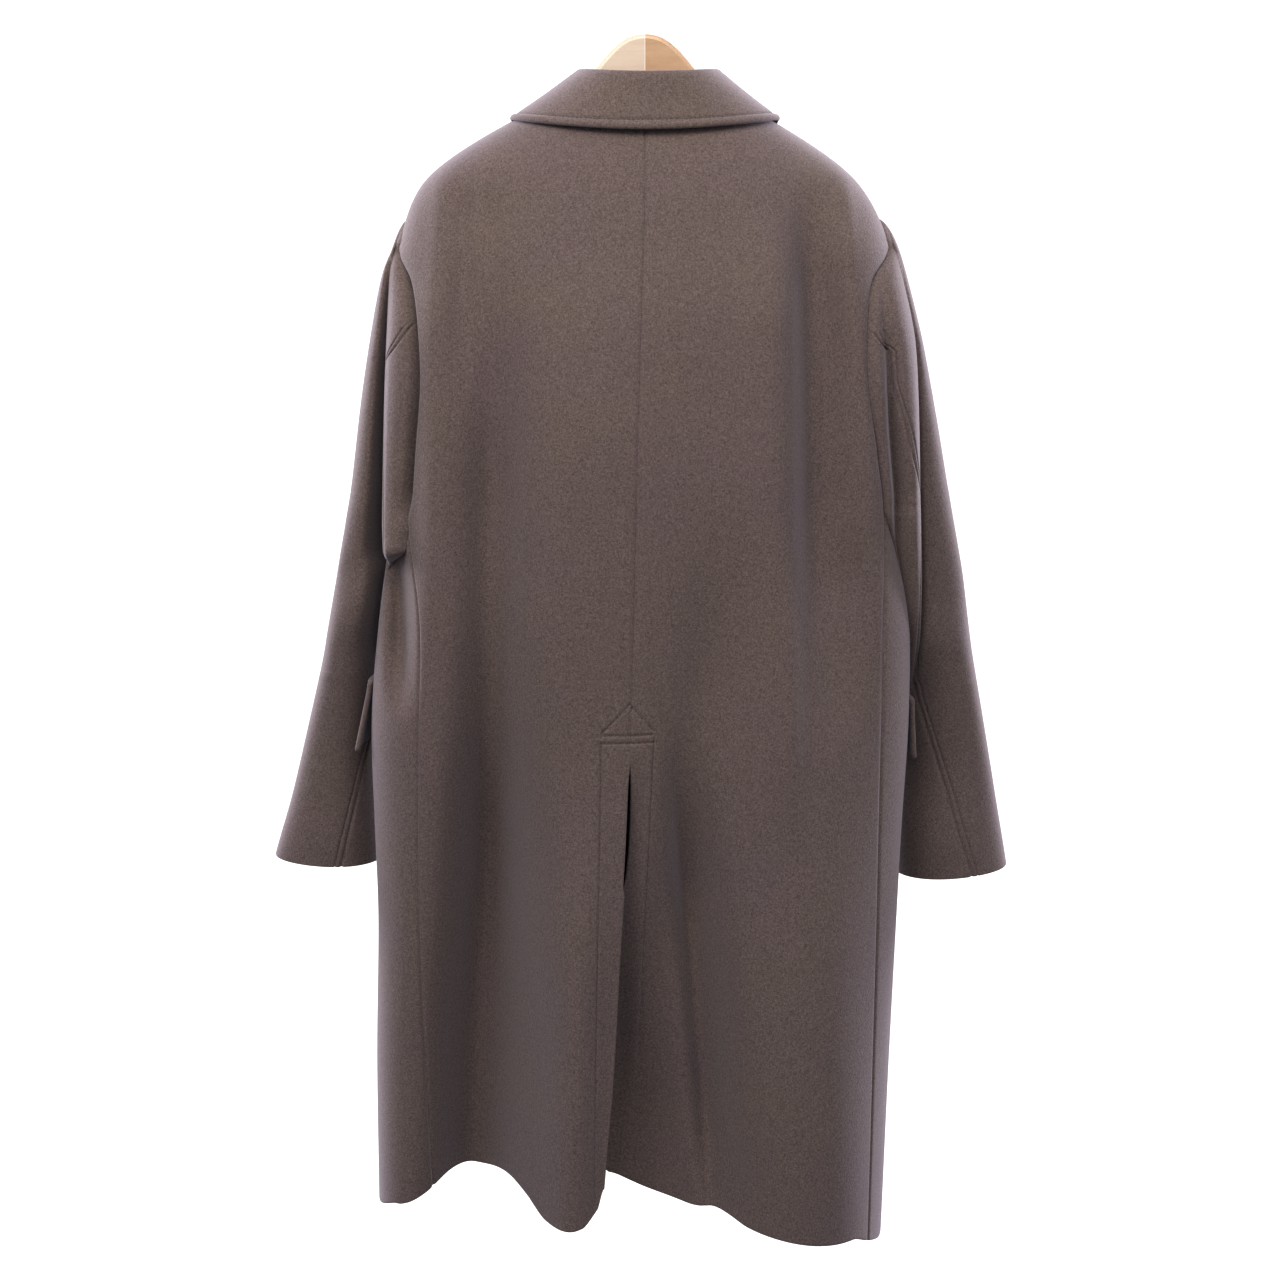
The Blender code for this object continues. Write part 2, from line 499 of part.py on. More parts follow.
# Buttons: plain discs with a turned rim, standing on the left front where the fronts close.
front_row_z = section(np.linspace(UNDERARM, HEM_ROW, 200))["front_z"]
for name, z in BUTTONS:
    row = np.interp(-z, -front_row_z, np.linspace(UNDERARM, HEM_ROW, 200))
    seat = body(np.array(row), np.array(np.pi), -1)
    bm = bmesh.new()
    outline = ((0.0, 0.0), (0.0065, 0.0), (BUTTON_RADIUS, 0.0016), (BUTTON_RADIUS, 0.0034),
               (BUTTON_RADIUS - 0.0010, BUTTON_HEIGHT), (BUTTON_RADIUS - 0.0026, 0.0034), (0.0, 0.0030))
    verts = [bm.verts.new((r, 0.0, h)) for r, h in outline]
    edges = [bm.edges.new(pair) for pair in zip(verts[:-1], verts[1:])]
    bmesh.ops.spin(bm, geom=verts + edges, cent=(0, 0, 0), axis=(0, 0, 1), angle=2 * np.pi, steps=24)
    bmesh.ops.remove_doubles(bm, verts=bm.verts, dist=1e-6)
    bmesh.ops.recalc_face_normals(bm, faces=bm.faces)
    mesh = bpy.data.meshes.new(name)
    bm.to_mesh(mesh)
    bm.free()
    made = bpy.data.objects.new(name, mesh)
    made.location = (seat[0], seat[1] + SEAM_GAP, seat[2])
    made.rotation_euler = (-np.pi / 2, 0, 0)
    bpy.context.scene.collection.objects.link(made)
    mesh.materials.append(material(name, BUTTON_COLOUR, 0.45))

# Hanger: two mirrored boards that meet at the middle, with arms just under the shoulders.
ridge_rows = np.array(ARM_ROWS + (SHOULDER_ROWS[-1],))
for side, name in ((-1, "left"), (+1, "right")):
    quarter = np.full_like(ridge_rows, np.pi / 2)
    ridge = body(ridge_rows, quarter, side)
    ridge = ridge - (CLOTH + ARM_GAP) * normals(ridge_rows, quarter, side)
    ridge[0] = ridge[0] + (ridge[1] - ridge[0]) * ARM_START_SHARE
    ridge[-1] = ridge[-2] + (ridge[-1] - ridge[-2]) * ARM_END_SHARE
    arm = [(abs(x), z) for x, _, z in ridge]
    top = list(zip(CROWN_X, [-drop for drop in CROWN_DROP])) + arm
    end_x, end_z = top[-1]
    low = [(x, z - depth) for (x, z), depth in zip(arm, ARM_DEPTH)]
    low = [(0.0, -CROWN_DEPTH), (0.030, -CROWN_DEPTH - 0.006)] + low
    nose = [(end_x + 0.006, end_z - 0.010), (end_x + 0.004, end_z - 0.021)]
    outline = top + nose + low[::-1]
    outline = [(max(x, half_gap), z) for x, z in outline]
    bm = bmesh.new()
    verts = [bm.verts.new((side * x, -ARM_THICK / 2, z)) for x, z in outline]
    face = bm.faces.new(verts)
    made_faces = bmesh.ops.extrude_face_region(bm, geom=[face])["geom"]
    moved = [v for v in made_faces if isinstance(v, bmesh.types.BMVert)]
    bmesh.ops.translate(bm, verts=moved, vec=(0, ARM_THICK, 0))
    bmesh.ops.recalc_face_normals(bm, faces=bm.faces)
    rims = [e for e in bm.edges if abs(e.verts[0].co.y - e.verts[1].co.y) < 1e-9
            and not (abs(e.verts[0].co.x) < 1e-3 and abs(e.verts[1].co.x) < 1e-3)]
    bmesh.ops.bevel(bm, geom=rims, offset=ARM_EDGE, segments=3, profile=0.5, affect="EDGES",
                    clamp_overlap=True)
    mesh = bpy.data.meshes.new("hanger_" + name)
    bm.to_mesh(mesh)
    bm.free()
    made = bpy.data.objects.new("hanger_" + name, mesh)
    bpy.context.scene.collection.objects.link(made)
    bm = bmesh.new()
    bmesh.ops.create_cone(bm, cap_ends=True, segments=24, radius1=HOLE_RADIUS, radius2=HOLE_RADIUS,
                          depth=2 * HOLE_DEPTH)
    drill_mesh = bpy.data.meshes.new("drill")
    bm.to_mesh(drill_mesh)
    bm.free()
    drill = bpy.data.objects.new("drill", drill_mesh)
    bpy.context.scene.collection.objects.link(drill)
    hole = made.modifiers.new("hole", "BOOLEAN")
    hole.operation = "DIFFERENCE"
    hole.solver = "EXACT"
    hole.object = drill
    bpy.context.view_layer.update()
    drilled = bpy.data.meshes.new_from_object(made.evaluated_get(bpy.context.evaluated_depsgraph_get()))
    made.modifiers.clear()
    bpy.data.objects.remove(drill, do_unlink=True)
    mesh = drilled
    made.data = mesh
    mesh.name = "hanger_" + name
    mesh.materials.clear()
    mesh.materials.append(material("hanger_" + name, WOOD_PALE if side < 0 else WOOD_TAN, 0.4))
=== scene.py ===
"""Looks of a wool chesterfield coat hanging on a two-part wooden hanger.

Metres with +Z up. The origin is the top of the hanger's crown, and the coat's back faces -Y.
"""
import json

import bpy
import numpy as np
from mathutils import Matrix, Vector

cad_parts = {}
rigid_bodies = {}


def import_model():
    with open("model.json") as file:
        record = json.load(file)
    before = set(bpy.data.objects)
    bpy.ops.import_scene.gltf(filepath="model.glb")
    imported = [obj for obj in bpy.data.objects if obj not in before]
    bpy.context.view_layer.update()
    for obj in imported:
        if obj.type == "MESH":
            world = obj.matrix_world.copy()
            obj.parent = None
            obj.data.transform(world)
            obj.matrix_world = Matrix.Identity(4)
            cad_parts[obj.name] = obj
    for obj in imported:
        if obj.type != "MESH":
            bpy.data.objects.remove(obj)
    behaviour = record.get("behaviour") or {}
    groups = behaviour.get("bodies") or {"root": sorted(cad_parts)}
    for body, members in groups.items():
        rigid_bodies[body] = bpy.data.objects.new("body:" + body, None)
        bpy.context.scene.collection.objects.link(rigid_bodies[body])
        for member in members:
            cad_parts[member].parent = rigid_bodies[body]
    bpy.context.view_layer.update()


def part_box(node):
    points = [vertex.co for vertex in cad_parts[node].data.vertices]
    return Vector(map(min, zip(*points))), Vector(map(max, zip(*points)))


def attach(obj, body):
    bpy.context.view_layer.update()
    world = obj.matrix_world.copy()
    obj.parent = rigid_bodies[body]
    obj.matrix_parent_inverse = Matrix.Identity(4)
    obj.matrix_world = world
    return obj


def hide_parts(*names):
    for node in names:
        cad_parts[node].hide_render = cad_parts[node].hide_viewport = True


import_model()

# Camera, light and floor
# The coat is seen from behind and a little from above. A soft key lamp stands at the upper left, a
# second lamp above the camera and a rim lamp behind each side, in a white room with a pale floor.
scene = bpy.context.scene
scene.view_settings.view_transform = "Standard"
scene.view_settings.exposure = 0.52
scene.view_settings.gamma = 0.85
camera = bpy.data.objects.new("camera", bpy.data.cameras.new("camera"))
camera.data.sensor_width = 36.0
camera.data.lens = 57.66
camera.location = (-0.0047, -2.0, -0.1563)
camera.rotation_euler = (np.radians(78.0), 0.0, 0.0)
scene.collection.objects.link(camera)
scene.camera = camera


def seen_apart(tree, lit, shown, output):
    """Joins two shaders by the kind of ray: one that lights the coat, and one that the camera sees."""
    ray = tree.nodes.new("ShaderNodeLightPath")
    either = tree.nodes.new("ShaderNodeMixShader")
    tree.links.new(ray.outputs["Is Camera Ray"], either.inputs["Fac"])
    tree.links.new(lit.outputs[0], either.inputs[1])
    tree.links.new(shown.outputs[0], either.inputs[2])
    tree.links.new(either.outputs[0], tree.nodes[output].inputs["Surface"])


scene.world = bpy.data.worlds.new("white_room")
scene.world.use_nodes = True
room = scene.world.node_tree
room.nodes["Background"].inputs["Color"].default_value = (0.84, 0.84, 0.93, 1.0)
backdrop = room.nodes.new("ShaderNodeBackground")
backdrop.inputs["Color"].default_value = (1.0, 1.0, 1.0, 1.0)
seen_apart(room, room.nodes["Background"], backdrop, "World Output")


def soft_lamp(name, place, aim, size, power, colour):
    """Square soft lamp at a place, turned towards the point it lights."""
    lamp = bpy.data.objects.new(name, bpy.data.lights.new(name, "AREA"))
    lamp.data.size = size
    lamp.data.energy = power
    lamp.data.color = colour
    lamp.location = place
    x, y, z = np.subtract(aim, place)
    lamp.rotation_euler = (np.arccos(-z / np.sqrt(x * x + y * y + z * z)), 0.0, np.arctan2(-x, y))
    scene.collection.objects.link(lamp)


soft_lamp("key_lamp", (-1.1, -1.7, 1.2), (0.0, -0.1, -0.45), 0.9, 24.0, (1.0, 0.94, 0.83))
soft_lamp("top_lamp", (0.1, -1.2, 0.9), (0.0, -0.1, -0.30), 0.8, 12.0, (1.0, 0.95, 0.85))
soft_lamp("left_rim_lamp", (-1.8, 1.1, 0.1), (-0.25, 0.0, -0.5), 1.2, 62.0, (0.95, 0.92, 1.0))
soft_lamp("right_rim_lamp", (1.8, 1.1, 0.1), (0.25, 0.0, -0.5), 1.2, 64.0, (0.95, 0.92, 1.0))

# The floor throws little light up at the coat, and the camera sees it white.
FLOOR_Z, FLOOR_REACH = -1.55, 9
floor_mesh = bpy.data.meshes.new("floor")
corners = [(x * FLOOR_REACH, y * FLOOR_REACH, FLOOR_Z) for x, y in ((-1, -1), (1, -1), (1, 1), (-1, 1))]
floor_mesh.from_pydata(corners, [], [(0, 1, 2, 3)])
floor = bpy.data.objects.new("floor", floor_mesh)
scene.collection.objects.link(floor)
pale = bpy.data.materials.new("pale_floor")
pale.use_nodes = True
dull = pale.node_tree.nodes["Principled BSDF"]
dull.inputs["Base Color"].default_value = (0.08, 0.08, 0.08, 1.0)
dull.inputs["Roughness"].default_value = 0.9
white = pale.node_tree.nodes.new("ShaderNodeEmission")
seen_apart(pale.node_tree, dull, white, "Material Output")
floor_mesh.materials.append(pale)

# Back panels
# Two long panels of heavy brushed wool, joined down the centre back. Below the waist the seam
# opens into a vent, stitched down with a triangle and two bars, and the left panel laps the right.
CLOTH = 0.0022
SIDE_NAMES = {-1: "left", +1: "right"}

# Sections from the neck to the hem in millimetres: height at the side, centre back and centre front,
# left and right half width, depth of the side line, depth behind and before it, squareness in
# thousandths, the outer edge of each back panel, its inner edge, and the front armhole's angle.
SECTION_COLUMNS = ("side_z", "back_z", "front_z", "left", "right", "mid", "back", "front",
                   "square", "seam_left", "seam_right", "centre_left", "centre_right", "arm")
SECTIONS = np.array([
    (-62, -76, -130, 70, 72, 0, 66, 62, 40, 70, 72, 0, 0, 90),
    (-80.2, -100, -150, 127, 122, 0, 80, 76, 50, 127, 122, 0, 0, 90),
    (-131, -142, -190, 205.5, 197, -2, 92, 88, 60, 205.5, 197, 0, 0, 90),
    (-188, -192, -240, 233, 231, -6, 100, 98, 100, 233, 231, -1, -1, 90),
    (-225, -226, -270, 237, 235, -9, 105, 103, 120, 223.5, 213, -2.5, -2.5, 105),
    (-262, -262, -300, 240, 238, -12, 108, 106, 140, 217.5, 208, -3.5, -3.5, 113),
    (-320, -320, -345, 242, 240, -16, 108, 108, 160, 215, 209, -5, -5, 118),
    (-390, -390, -405, 244, 241, -21, 107, 110, 160, 221.5, 220.5, -7, -7, 114),
    (-455, -455, -462, 246, 242, -25, 104, 112, 160, 225, 227.5, -8.5, -8.5, 66),
    (-545, -545, -548, 259, 258, -28, 101, 112, 160, 215, 227.5, -10.5, -10.5, 66),
    (-650, -650, -650, 270, 261, -28, 100, 112, 160, 217.5, 228, -13.5, -13.5, 66),
    (-760, -760, -760, 270, 257, -28, 101, 112, 150, 221, 228, -18, -14.5, 66),
    (-860, -860, -860, 269, 254, -28, 103, 112, 140, 221.5, 228, -24, -25, 66),
    (-1000, -1000, -1000, 274.5, 250, -26, 106, 112, 120, 219, 227, -30.5, -42, 66),
    (-1150, -1150, -1150, 277, 247, -22, 110, 112, 120, 215.5, 226, -40, -58, 66),
])
SECTIONS[:, :-1] /= 1000
# Section rows of the armhole's top and of each underarm.
ARM_TOP = 3.0
UNDERARM = {-1: 8.0, +1: 7.6}

# Folds: face (back is +1) and the side that alone has it (0 for both), then in millimetres the place
# across at the top and at the hem, heights where it fades in and out, depth (a ridge is negative)
# and half width to each side. A fold that is full at the hem would fade out below it.
TO_HEM = (-2000, -2100)
FOLDS = np.array([
    (+1, 0, -140, -177, -500, -1000, *TO_HEM, 96, 38, 54),
    (+1, 0, -60, -74, -660, -1050, *TO_HEM, -26, 30, 26),
    (+1, 1, 6, 6, -660, -1100, *TO_HEM, 58, 62, 70),
    (+1, 0, 150, 185, -500, -1080, *TO_HEM, -40, 95, 60),
    (+1, 0, 147, 181, -100, -260, -420, -600, 30, 22, 32),
    (+1, 0, 188, 190, -440, -520, -560, -680, 12, 32, 26),
    (+1, 0, 186, 300, -120, -240, -420, -560, -10, 24, 30),
    (+1, 0, 130, 145, -140, -260, -620, -800, -12, 45, 14),
    (+1, 0, -70, -70, -200, -360, -800, -1000, -10, 50, 90),
    (+1, 0, -135, -166, -180, -440, -740, -1000, 34, 26, 32),
    (+1, 0, -197, -203, -160, -280, -420, -600, -8, 18, 16),
    (+1, 1, 26, 70, -620, -820, -1040, -1240, 30, 12, 30),
    (+1, 1, -34, -44, -800, -1100, *TO_HEM, 16, 50, 30),
    (+1, 0, 80, 0, -400, -620, -800, -1000, 15, 34, 40),
    (+1, 0, -236, -237, -460, -525, -555, -650, 28, 11, 14),
    (+1, 0, -191, -191, -110, -150, -205, -300, -3, 10, 14),
    (+1, 0, -166, -166, -110, -170, -240, -360, 10, 14, 18),
    (+1, 0, -139, -139, -110, -170, -240, -360, 7, 12, 18),
    (+1, 0, 187, 187, -110, -150, -205, -300, -4.5, 12, 9),
    (-1, 0, -150, -160, -620, -1080, *TO_HEM, 30, 50, 50),
    (-1, 0, -70, -75, -600, -1080, *TO_HEM, -12, 45, 45),
    (-1, 0, 130, 140, -700, -1080, *TO_HEM, 26, 50, 50),
])
FOLDS[:, 2:] /= 1000
# Height of the last section, and the hem's rise from it at places across the back and in front.
HEM_Z = -1.150
HEM_X = np.array([-275, -258, -246, -221, -202, -171, -140, -120, -100, -60, -46, -40, -34, 4, 40,
                  75, 100, 160, 210, 228, 247]) / 1000
HEM_RISE = np.array([-17, -4, 0, 10.5, 18.5, 16.5, 25, 20, 7.5, 9.5, 25, 44.5, 33.5, 14.5, 7.3,
                     8, 1.2, -8.3, -15.3, -30.7, -47]) / 1000
HEM_FRONT = -0.006
VENT_TOP = -0.660
# How deep the right panels pass under the left at the vent and in front, how far, and the slope's width.
UNDERLAP_DIP, UNDERLAP_REACH, UNDERLAP_SLOPE = 0.0075, 0.022, 0.020
OVERLAP_DIP, OVERLAP_REACH, OVERLAP_SLOPE = 0.0050, 0.062, 0.030


def ease(value):
    """Zero below 0, one above 1, and a smooth rise between."""
    value = np.clip(value, 0.0, 1.0)
    return value * value * (3.0 - 2.0 * value)


def through(table, at):
    """Smooth curve through the rows of a table: cubic Hermite pieces with central slopes."""
    last = len(table) - 1
    at = np.clip(np.asarray(at, float), 0.0, last)
    low = np.minimum(np.floor(at).astype(int), last - 1)
    part = (at - low)[..., None]
    slope = np.gradient(table, axis=0)
    square, cube = part * part, part * part * part
    return ((2 * cube - 3 * square + 1) * table[low] + (cube - 2 * square + part) * slope[low]
            + (3 * square - 2 * cube) * table[low + 1] + (cube - square) * slope[low + 1])


def section(row):
    """Sizes of the body's ring at a section row, by name."""
    values = through(SECTIONS, row)
    return {name: values[..., i] for i, name in enumerate(SECTION_COLUMNS)}


def fade(z, z_from, z_full, z_hold, z_end):
    """Rises from z_from down to z_full, holds to z_hold and falls off by z_end."""
    return ease((z_from - z) / (z_from - z_full)) * ease((z - z_end) / (z_hold - z_end))


def swell(away, left, right):
    """Bell curve with its own half width on each side."""
    return np.exp(-(away / np.where(away < 0, left, right)) ** 2)


def angle_at(share, square):
    """Angle at which a squared ring reaches this share of its half width (Newton's steps)."""
    sine = np.clip(share, -1.0, 1.0) / (1.0 + square)
    for _ in range(8):
        rest = (1 + square) * sine - square * sine ** 3 - share
        sine = sine - rest / (1 + square - 3 * square * sine ** 2)
    return np.arcsin(np.clip(sine, -1.0, 1.0))


def half_width(s, across, side):
    """Half width of a ring: this side's where across is positive, and the other's where it isn't."""
    return np.where(across >= 0, s[SIDE_NAMES[side]], s[SIDE_NAMES[-side]])


def coat_face(row, angle, side):
    """Outer face of the body: a squared oval ring for each row, read from the centre back round
    one side by angle, with the folds added to its depth and the hem's rise to its height."""
    s = section(row)
    sine, cosine = np.sin(angle), np.cos(angle)
    depth = np.where(cosine >= 0, s["back"], s["front"])
    x = side * half_width(s, sine, side) * sine * (1 + s["square"] * cosine ** 2)
    y = s["mid"] - depth * cosine * (1 + s["square"] * sine ** 2)
    z = s["side_z"] + (np.where(cosine >= 0, s["back_z"], s["front_z"]) - s["side_z"]) * cosine ** 2
    for face, only, x_top, x_low, z_from, z_full, z_hold, z_end, deep, left, right in FOLDS:
        if only == -side:
            continue
        line = x_top + (x_low - x_top) * np.clip((z_from - z) / (z_from - HEM_Z), 0, 1)
        share = ease(face * cosine / 0.30) * fade(z, z_from, z_full, z_hold, z_end)
        y = y + face * deep * share * swell(x - line, left, right)
    behind = ease((cosine + 0.6) / 0.8)
    back_rise = through(HEM_RISE[:, None], np.interp(x, HEM_X, range(len(HEM_X))))[..., 0]
    z = z + (back_rise * behind + HEM_FRONT * (1 - behind)) * ease((row - 11.5) / 2.5)
    return np.stack([x, y, z], -1)


def facing_out(points, turn):
    """Unit normals of a grid: the cross product of its slopes along columns and rows, times turn."""
    normal = turn * np.cross(np.gradient(points, axis=1), np.gradient(points, axis=0))
    return normal / np.maximum(np.linalg.norm(normal, axis=-1, keepdims=True), 1e-12)


def set_out(dense, near, between, far):
    """Columns of a piece set out by length along each row of a dense grid: at the near distances
    from the first edge, evenly between, and at the far distances from the last edge. Also gives
    each point's distance from the two edges."""
    rows, columns = dense.shape[:2]
    steps = np.linalg.norm(np.diff(dense, axis=1, prepend=dense[:, :1]), axis=-1)
    run = np.cumsum(steps, axis=1)
    whole = run[:, -1:]
    fit = np.minimum(1.0, whole / (1.6 * (near[-1] + far[-1])))
    middle = fit * near[-1] + (whole - fit * (near[-1] + far[-1])) * np.linspace(0, 1, between + 2)[1:-1]
    goal = np.concatenate([near * fit, middle, whole - far[::-1] * fit], axis=1)
    apart = 10.0 * np.arange(rows)[:, None]
    at = np.interp((goal + apart).ravel(), (run + apart).ravel(), np.tile(np.arange(columns), rows))
    low = np.clip(np.floor(at).astype(int), 0, columns - 2).reshape(goal.shape)
    part = (at.reshape(goal.shape) - low)[..., None]
    row = np.arange(rows)[:, None]
    return dense[row, low] * (1 - part) + dense[row, low + 1] * part, goal, whole - goal


def coat_mesh(name, points, faces):
    """Smooth mesh object from an array of points and an array of four-cornered faces."""
    mesh = bpy.data.meshes.new(name)
    mesh.from_pydata(points, [], faces)
    mesh.validate()
    mesh.shade_smooth()
    made = bpy.data.objects.new(name, mesh)
    scene.collection.objects.link(made)
    return made


def ring_faces(rings):
    """Four-cornered faces between neighbouring closed rings of point numbers."""
    beside = np.roll(rings, -1, axis=-1)
    corners = [rings[..., :-1, :], rings[..., 1:, :], beside[..., 1:, :], beside[..., :-1, :]]
    return np.stack(corners, -1).reshape(-1, 4)


def shell(outer, inner, turn, rounded):
    """Points and faces of a closed shell of cloth between two matching grids. The borders (first
    row, last row, first column, last column) are closed by rims: a half circle between the two
    faces, pushed out by the share that rounded gives for that border, so that a seam stays flat
    and an edge is round."""
    rounded = [np.broadcast_to(share, n) for share, n in
               zip(rounded, (outer.shape[1], outer.shape[1], outer.shape[0], outer.shape[0]))]
    if turn < 0:
        outer, inner = outer[:, ::-1], inner[:, ::-1]
        rounded = [rounded[0][::-1], rounded[1][::-1], rounded[3], rounded[2]]
    rows, columns = outer.shape[:2]
    away = np.zeros_like(outer)
    pairs = ((np.s_[0], np.s_[1]), (np.s_[-1], np.s_[-2]),
             (np.s_[:, 0], np.s_[:, 1]), (np.s_[:, -1], np.s_[:, -2]))
    for (border, beside), share in zip(pairs, rounded):
        out = outer[border] - outer[beside]
        away[border] += out / np.maximum(np.linalg.norm(out, axis=-1, keepdims=True), 1e-9) * share[:, None]
    away = away / np.maximum(np.linalg.norm(away, axis=-1, keepdims=True), 1.0)
    number = np.arange(rows * columns).reshape(rows, columns)
    loop = np.concatenate([number[0, :-1], number[:-1, -1], number[-1, :0:-1], number[:0:-1, 0]])
    top, low, out = (grid.reshape(-1, 3)[loop] for grid in (outer, inner, away))
    middle, arm = (top + low) / 2, (top - low) / 2
    half = np.linalg.norm(arm, axis=-1, keepdims=True)
    turns = np.radians([45.0, 90.0, 135.0])[:, None, None]
    rims = middle + np.cos(turns) * arm + np.sin(turns) * half * out
    points = np.concatenate([outer.reshape(-1, 3), inner.reshape(-1, 3), rims.reshape(-1, 3)])
    corners = [number[:-1, :-1], number[:-1, 1:], number[1:, 1:], number[1:, :-1]]
    face = np.stack(corners, -1).reshape(-1, 4)
    back = face[:, ::-1] + rows * columns
    rim = 2 * rows * columns + np.arange(3 * len(loop)).reshape(3, len(loop))
    chain = np.concatenate([loop[None], rim, loop[None] + rows * columns])
    return points, np.concatenate([face, back, ring_faces(chain)])


def layer(face, normal, above, below, turn, rounded):
    """Shell of cloth between two heights over a face, measured along its normals."""
    return shell(face + above[..., None] * normal, face + below[..., None] * normal, turn, rounded)


def cloth_piece(name, parts, finish):
    """One mesh object made of several parts, each given as its points and faces, in one finish."""
    first = np.cumsum([0] + [len(points) for points, _ in parts[:-1]])
    made = coat_mesh(name, np.concatenate([points for points, _ in parts]),
                     np.concatenate([faces + start for (_, faces), start in zip(parts, first)]))
    made.data.materials.append(finish)
    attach(made, "root")
    return made


class Finish:
    """A shader value. Arithmetic on it adds Math nodes, and node() adds any other node."""

    def __init__(self, tree, socket=None):
        self.tree = tree
        self.socket = socket

    def node(self, kind, settings, sockets, output=0):
        """New node: its settings first, then each socket's value or link. Gives one of its outputs."""
        made = self.tree.nodes.new(kind)
        for name, value in settings.items():
            setattr(made, name, value)
        for name, value in sockets.items():
            if isinstance(value, Finish):
                self.tree.links.new(value.socket, made.inputs[name])
            else:
                made.inputs[name].default_value = value
        return Finish(self.tree, made.outputs[output])

    def sum(self, operation, first, second):
        """One Math node on two values."""
        return self.node("ShaderNodeMath", {"operation": operation}, {0: first, 1: second})

    def __add__(self, other):
        return self.sum("ADD", self, other)

    __radd__ = __add__

    def __sub__(self, other):
        return self.sum("SUBTRACT", self, other)

    def __rsub__(self, other):
        return self.sum("SUBTRACT", other, self)

    def __mul__(self, other):
        return self.sum("MULTIPLY", self, other)

    __rmul__ = __mul__

    def noise(self, scale, detail, roughness):
        """Noise pattern read at this place."""
        return self.node("ShaderNodeTexNoise", {}, {"Vector": self, "Scale": scale, "Detail": detail,
                                                    "Roughness": roughness})

    def blend(self, share, first, second):
        """Mix of two colours by a share."""
        return self.node("ShaderNodeMix", {"data_type": "RGBA"}, {"Factor": share, 6: first, 7: second}, 2)


def finish_start(name):
    """New material, its shader's sockets, and the place on the piece to read patterns from."""
    made = bpy.data.materials.new(name)
    made.use_nodes = True
    tree = made.node_tree
    place = Finish(tree).node("ShaderNodeTexCoord", {}, {}, "Object")
    return made, tree, tree.nodes["Principled BSDF"].inputs, place


# Dark and light fibre of the wool where it is warm and where it is cool.
WOOL_FIBRES = np.array([[(0.060, 0.046, 0.038), (0.150, 0.117, 0.098)],
                        [(0.057, 0.042, 0.042), (0.143, 0.108, 0.108)]])


def wool(name, shade=1.0):
    """Brushed melange wool: two tones of fibre mixed by fine flecks, drifting slowly between a
    warm and a cool brown, with a short nap in the bump and a soft sheen."""
    made, tree, shader, place = finish_start(name)
    fleck = place.noise(760.0, 3.0, 0.65)
    yarn = place.noise(430.0, 2.0, 0.55)
    drift = place.noise(11.0, 2.0, 0.5)
    tone = (fleck - 0.5) * 2.4 + (yarn - 0.5) * 1.0 + 0.5
    warm, cool = (place.blend(tone, (*dark, 1.0), (*light, 1.0)) for dark, light in WOOL_FIBRES * shade)
    colour = place.blend((drift - 0.5) * 1.3 + 0.5, warm, cool)
    tree.links.new(colour.socket, shader["Base Color"])
    tree.links.new((0.80 + fleck * 0.2).socket, shader["Roughness"])
    hairs = fleck * 0.7 + yarn * 0.6
    nap = hairs.node("ShaderNodeBump", {}, {"Strength": 0.35, "Distance": 0.0009, "Height": hairs})
    tree.links.new(nap.socket, shader["Normal"])
    shader["Specular IOR Level"].default_value = 0.15
    shader["Sheen Weight"].default_value = 0.28
    shader["Sheen Roughness"].default_value = 0.45
    shader["Sheen Tint"].default_value = (0.93, 0.88, 1.0, 1.0)
    return made


COAT_WOOL = wool("coat_wool")
# The stitching thread is the coat's wool darkened to 0.55 of its colour: painted shade that stands in for the
# shadow in the stitches' grooves.
PAINTED_SHADE_THREAD = wool("sewing_thread_painted_shade", 0.55)


def ditch(away, deep, wide):
    """Groove that a row of stitches or a seam presses into the cloth: a bell curve across it."""
    return deep * np.exp(-(away / wide) ** 2)


def sewn_row(path, up, pitch=0.0044, radius=0.00034):
    """Points and faces of a row of stitches along a path: each is a six-sided body of five rings
    whose radius and height swell as a half sine along it, so that its ends dive into the cloth."""
    run = np.concatenate([[0.0], np.cumsum(np.linalg.norm(np.diff(path, axis=0), axis=1))])
    count = max(int(run[-1] / pitch), 1)
    along = np.linspace(0.06, 0.94, 5)
    at = (np.arange(count)[:, None] + 0.08 + 0.84 * along) * run[-1] / count
    centre = np.stack([np.interp(at, run, path[:, i]) for i in range(3)], -1)
    lift = np.stack([np.interp(at, run, up[:, i]) for i in range(3)], -1)
    ahead = np.gradient(centre, axis=1)
    ahead = ahead / np.linalg.norm(ahead, axis=-1, keepdims=True)
    across = np.cross(ahead, lift)
    arch = np.sin(np.pi * along)[None, :, None]
    centre = centre + lift * radius * (1.3 * arch - 0.7)
    turn = np.radians(np.arange(0, 360, 60))
    size = radius * (0.3 + 0.7 * arch)[..., None]
    ring = np.cos(turn)[:, None] * lift[:, :, None] + np.sin(turn)[:, None] * across[:, :, None]
    points = centre[:, :, None] + size * ring
    number = np.arange(count * 30).reshape(count, 5, 6)
    caps = [number[:, 0][:, [0, 1, 2, 3]], number[:, 0][:, [0, 3, 4, 5]],
            number[:, -1][:, [3, 2, 1, 0]], number[:, -1][:, [5, 4, 3, 0]]]
    return points.reshape(-1, 3), np.concatenate([ring_faces(number)] + caps)


# Rows of the fine panels, closer at the vent's stitching and at the hem, and columns near an edge.
PANEL_STRETCHES = ((0.0, 3.0, 36), (3.0, 8.0, 72), (8.0, 9.60, 34), (9.60, 10.08, 44), (10.08, 13.85, 92))
PANEL_ROWS = np.concatenate([np.linspace(*stretch, endpoint=False) for stretch in PANEL_STRETCHES]
                            + [np.linspace(13.85, 14.0, 10)])
NEAR_SEAM = np.array([0.0, 0.0007, 0.0014, 0.0022, 0.0032, 0.0046, 0.0066, 0.0090])
NEAR_ARMHOLE = np.concatenate([NEAR_SEAM, [0.0115, 0.0140, 0.0170]])
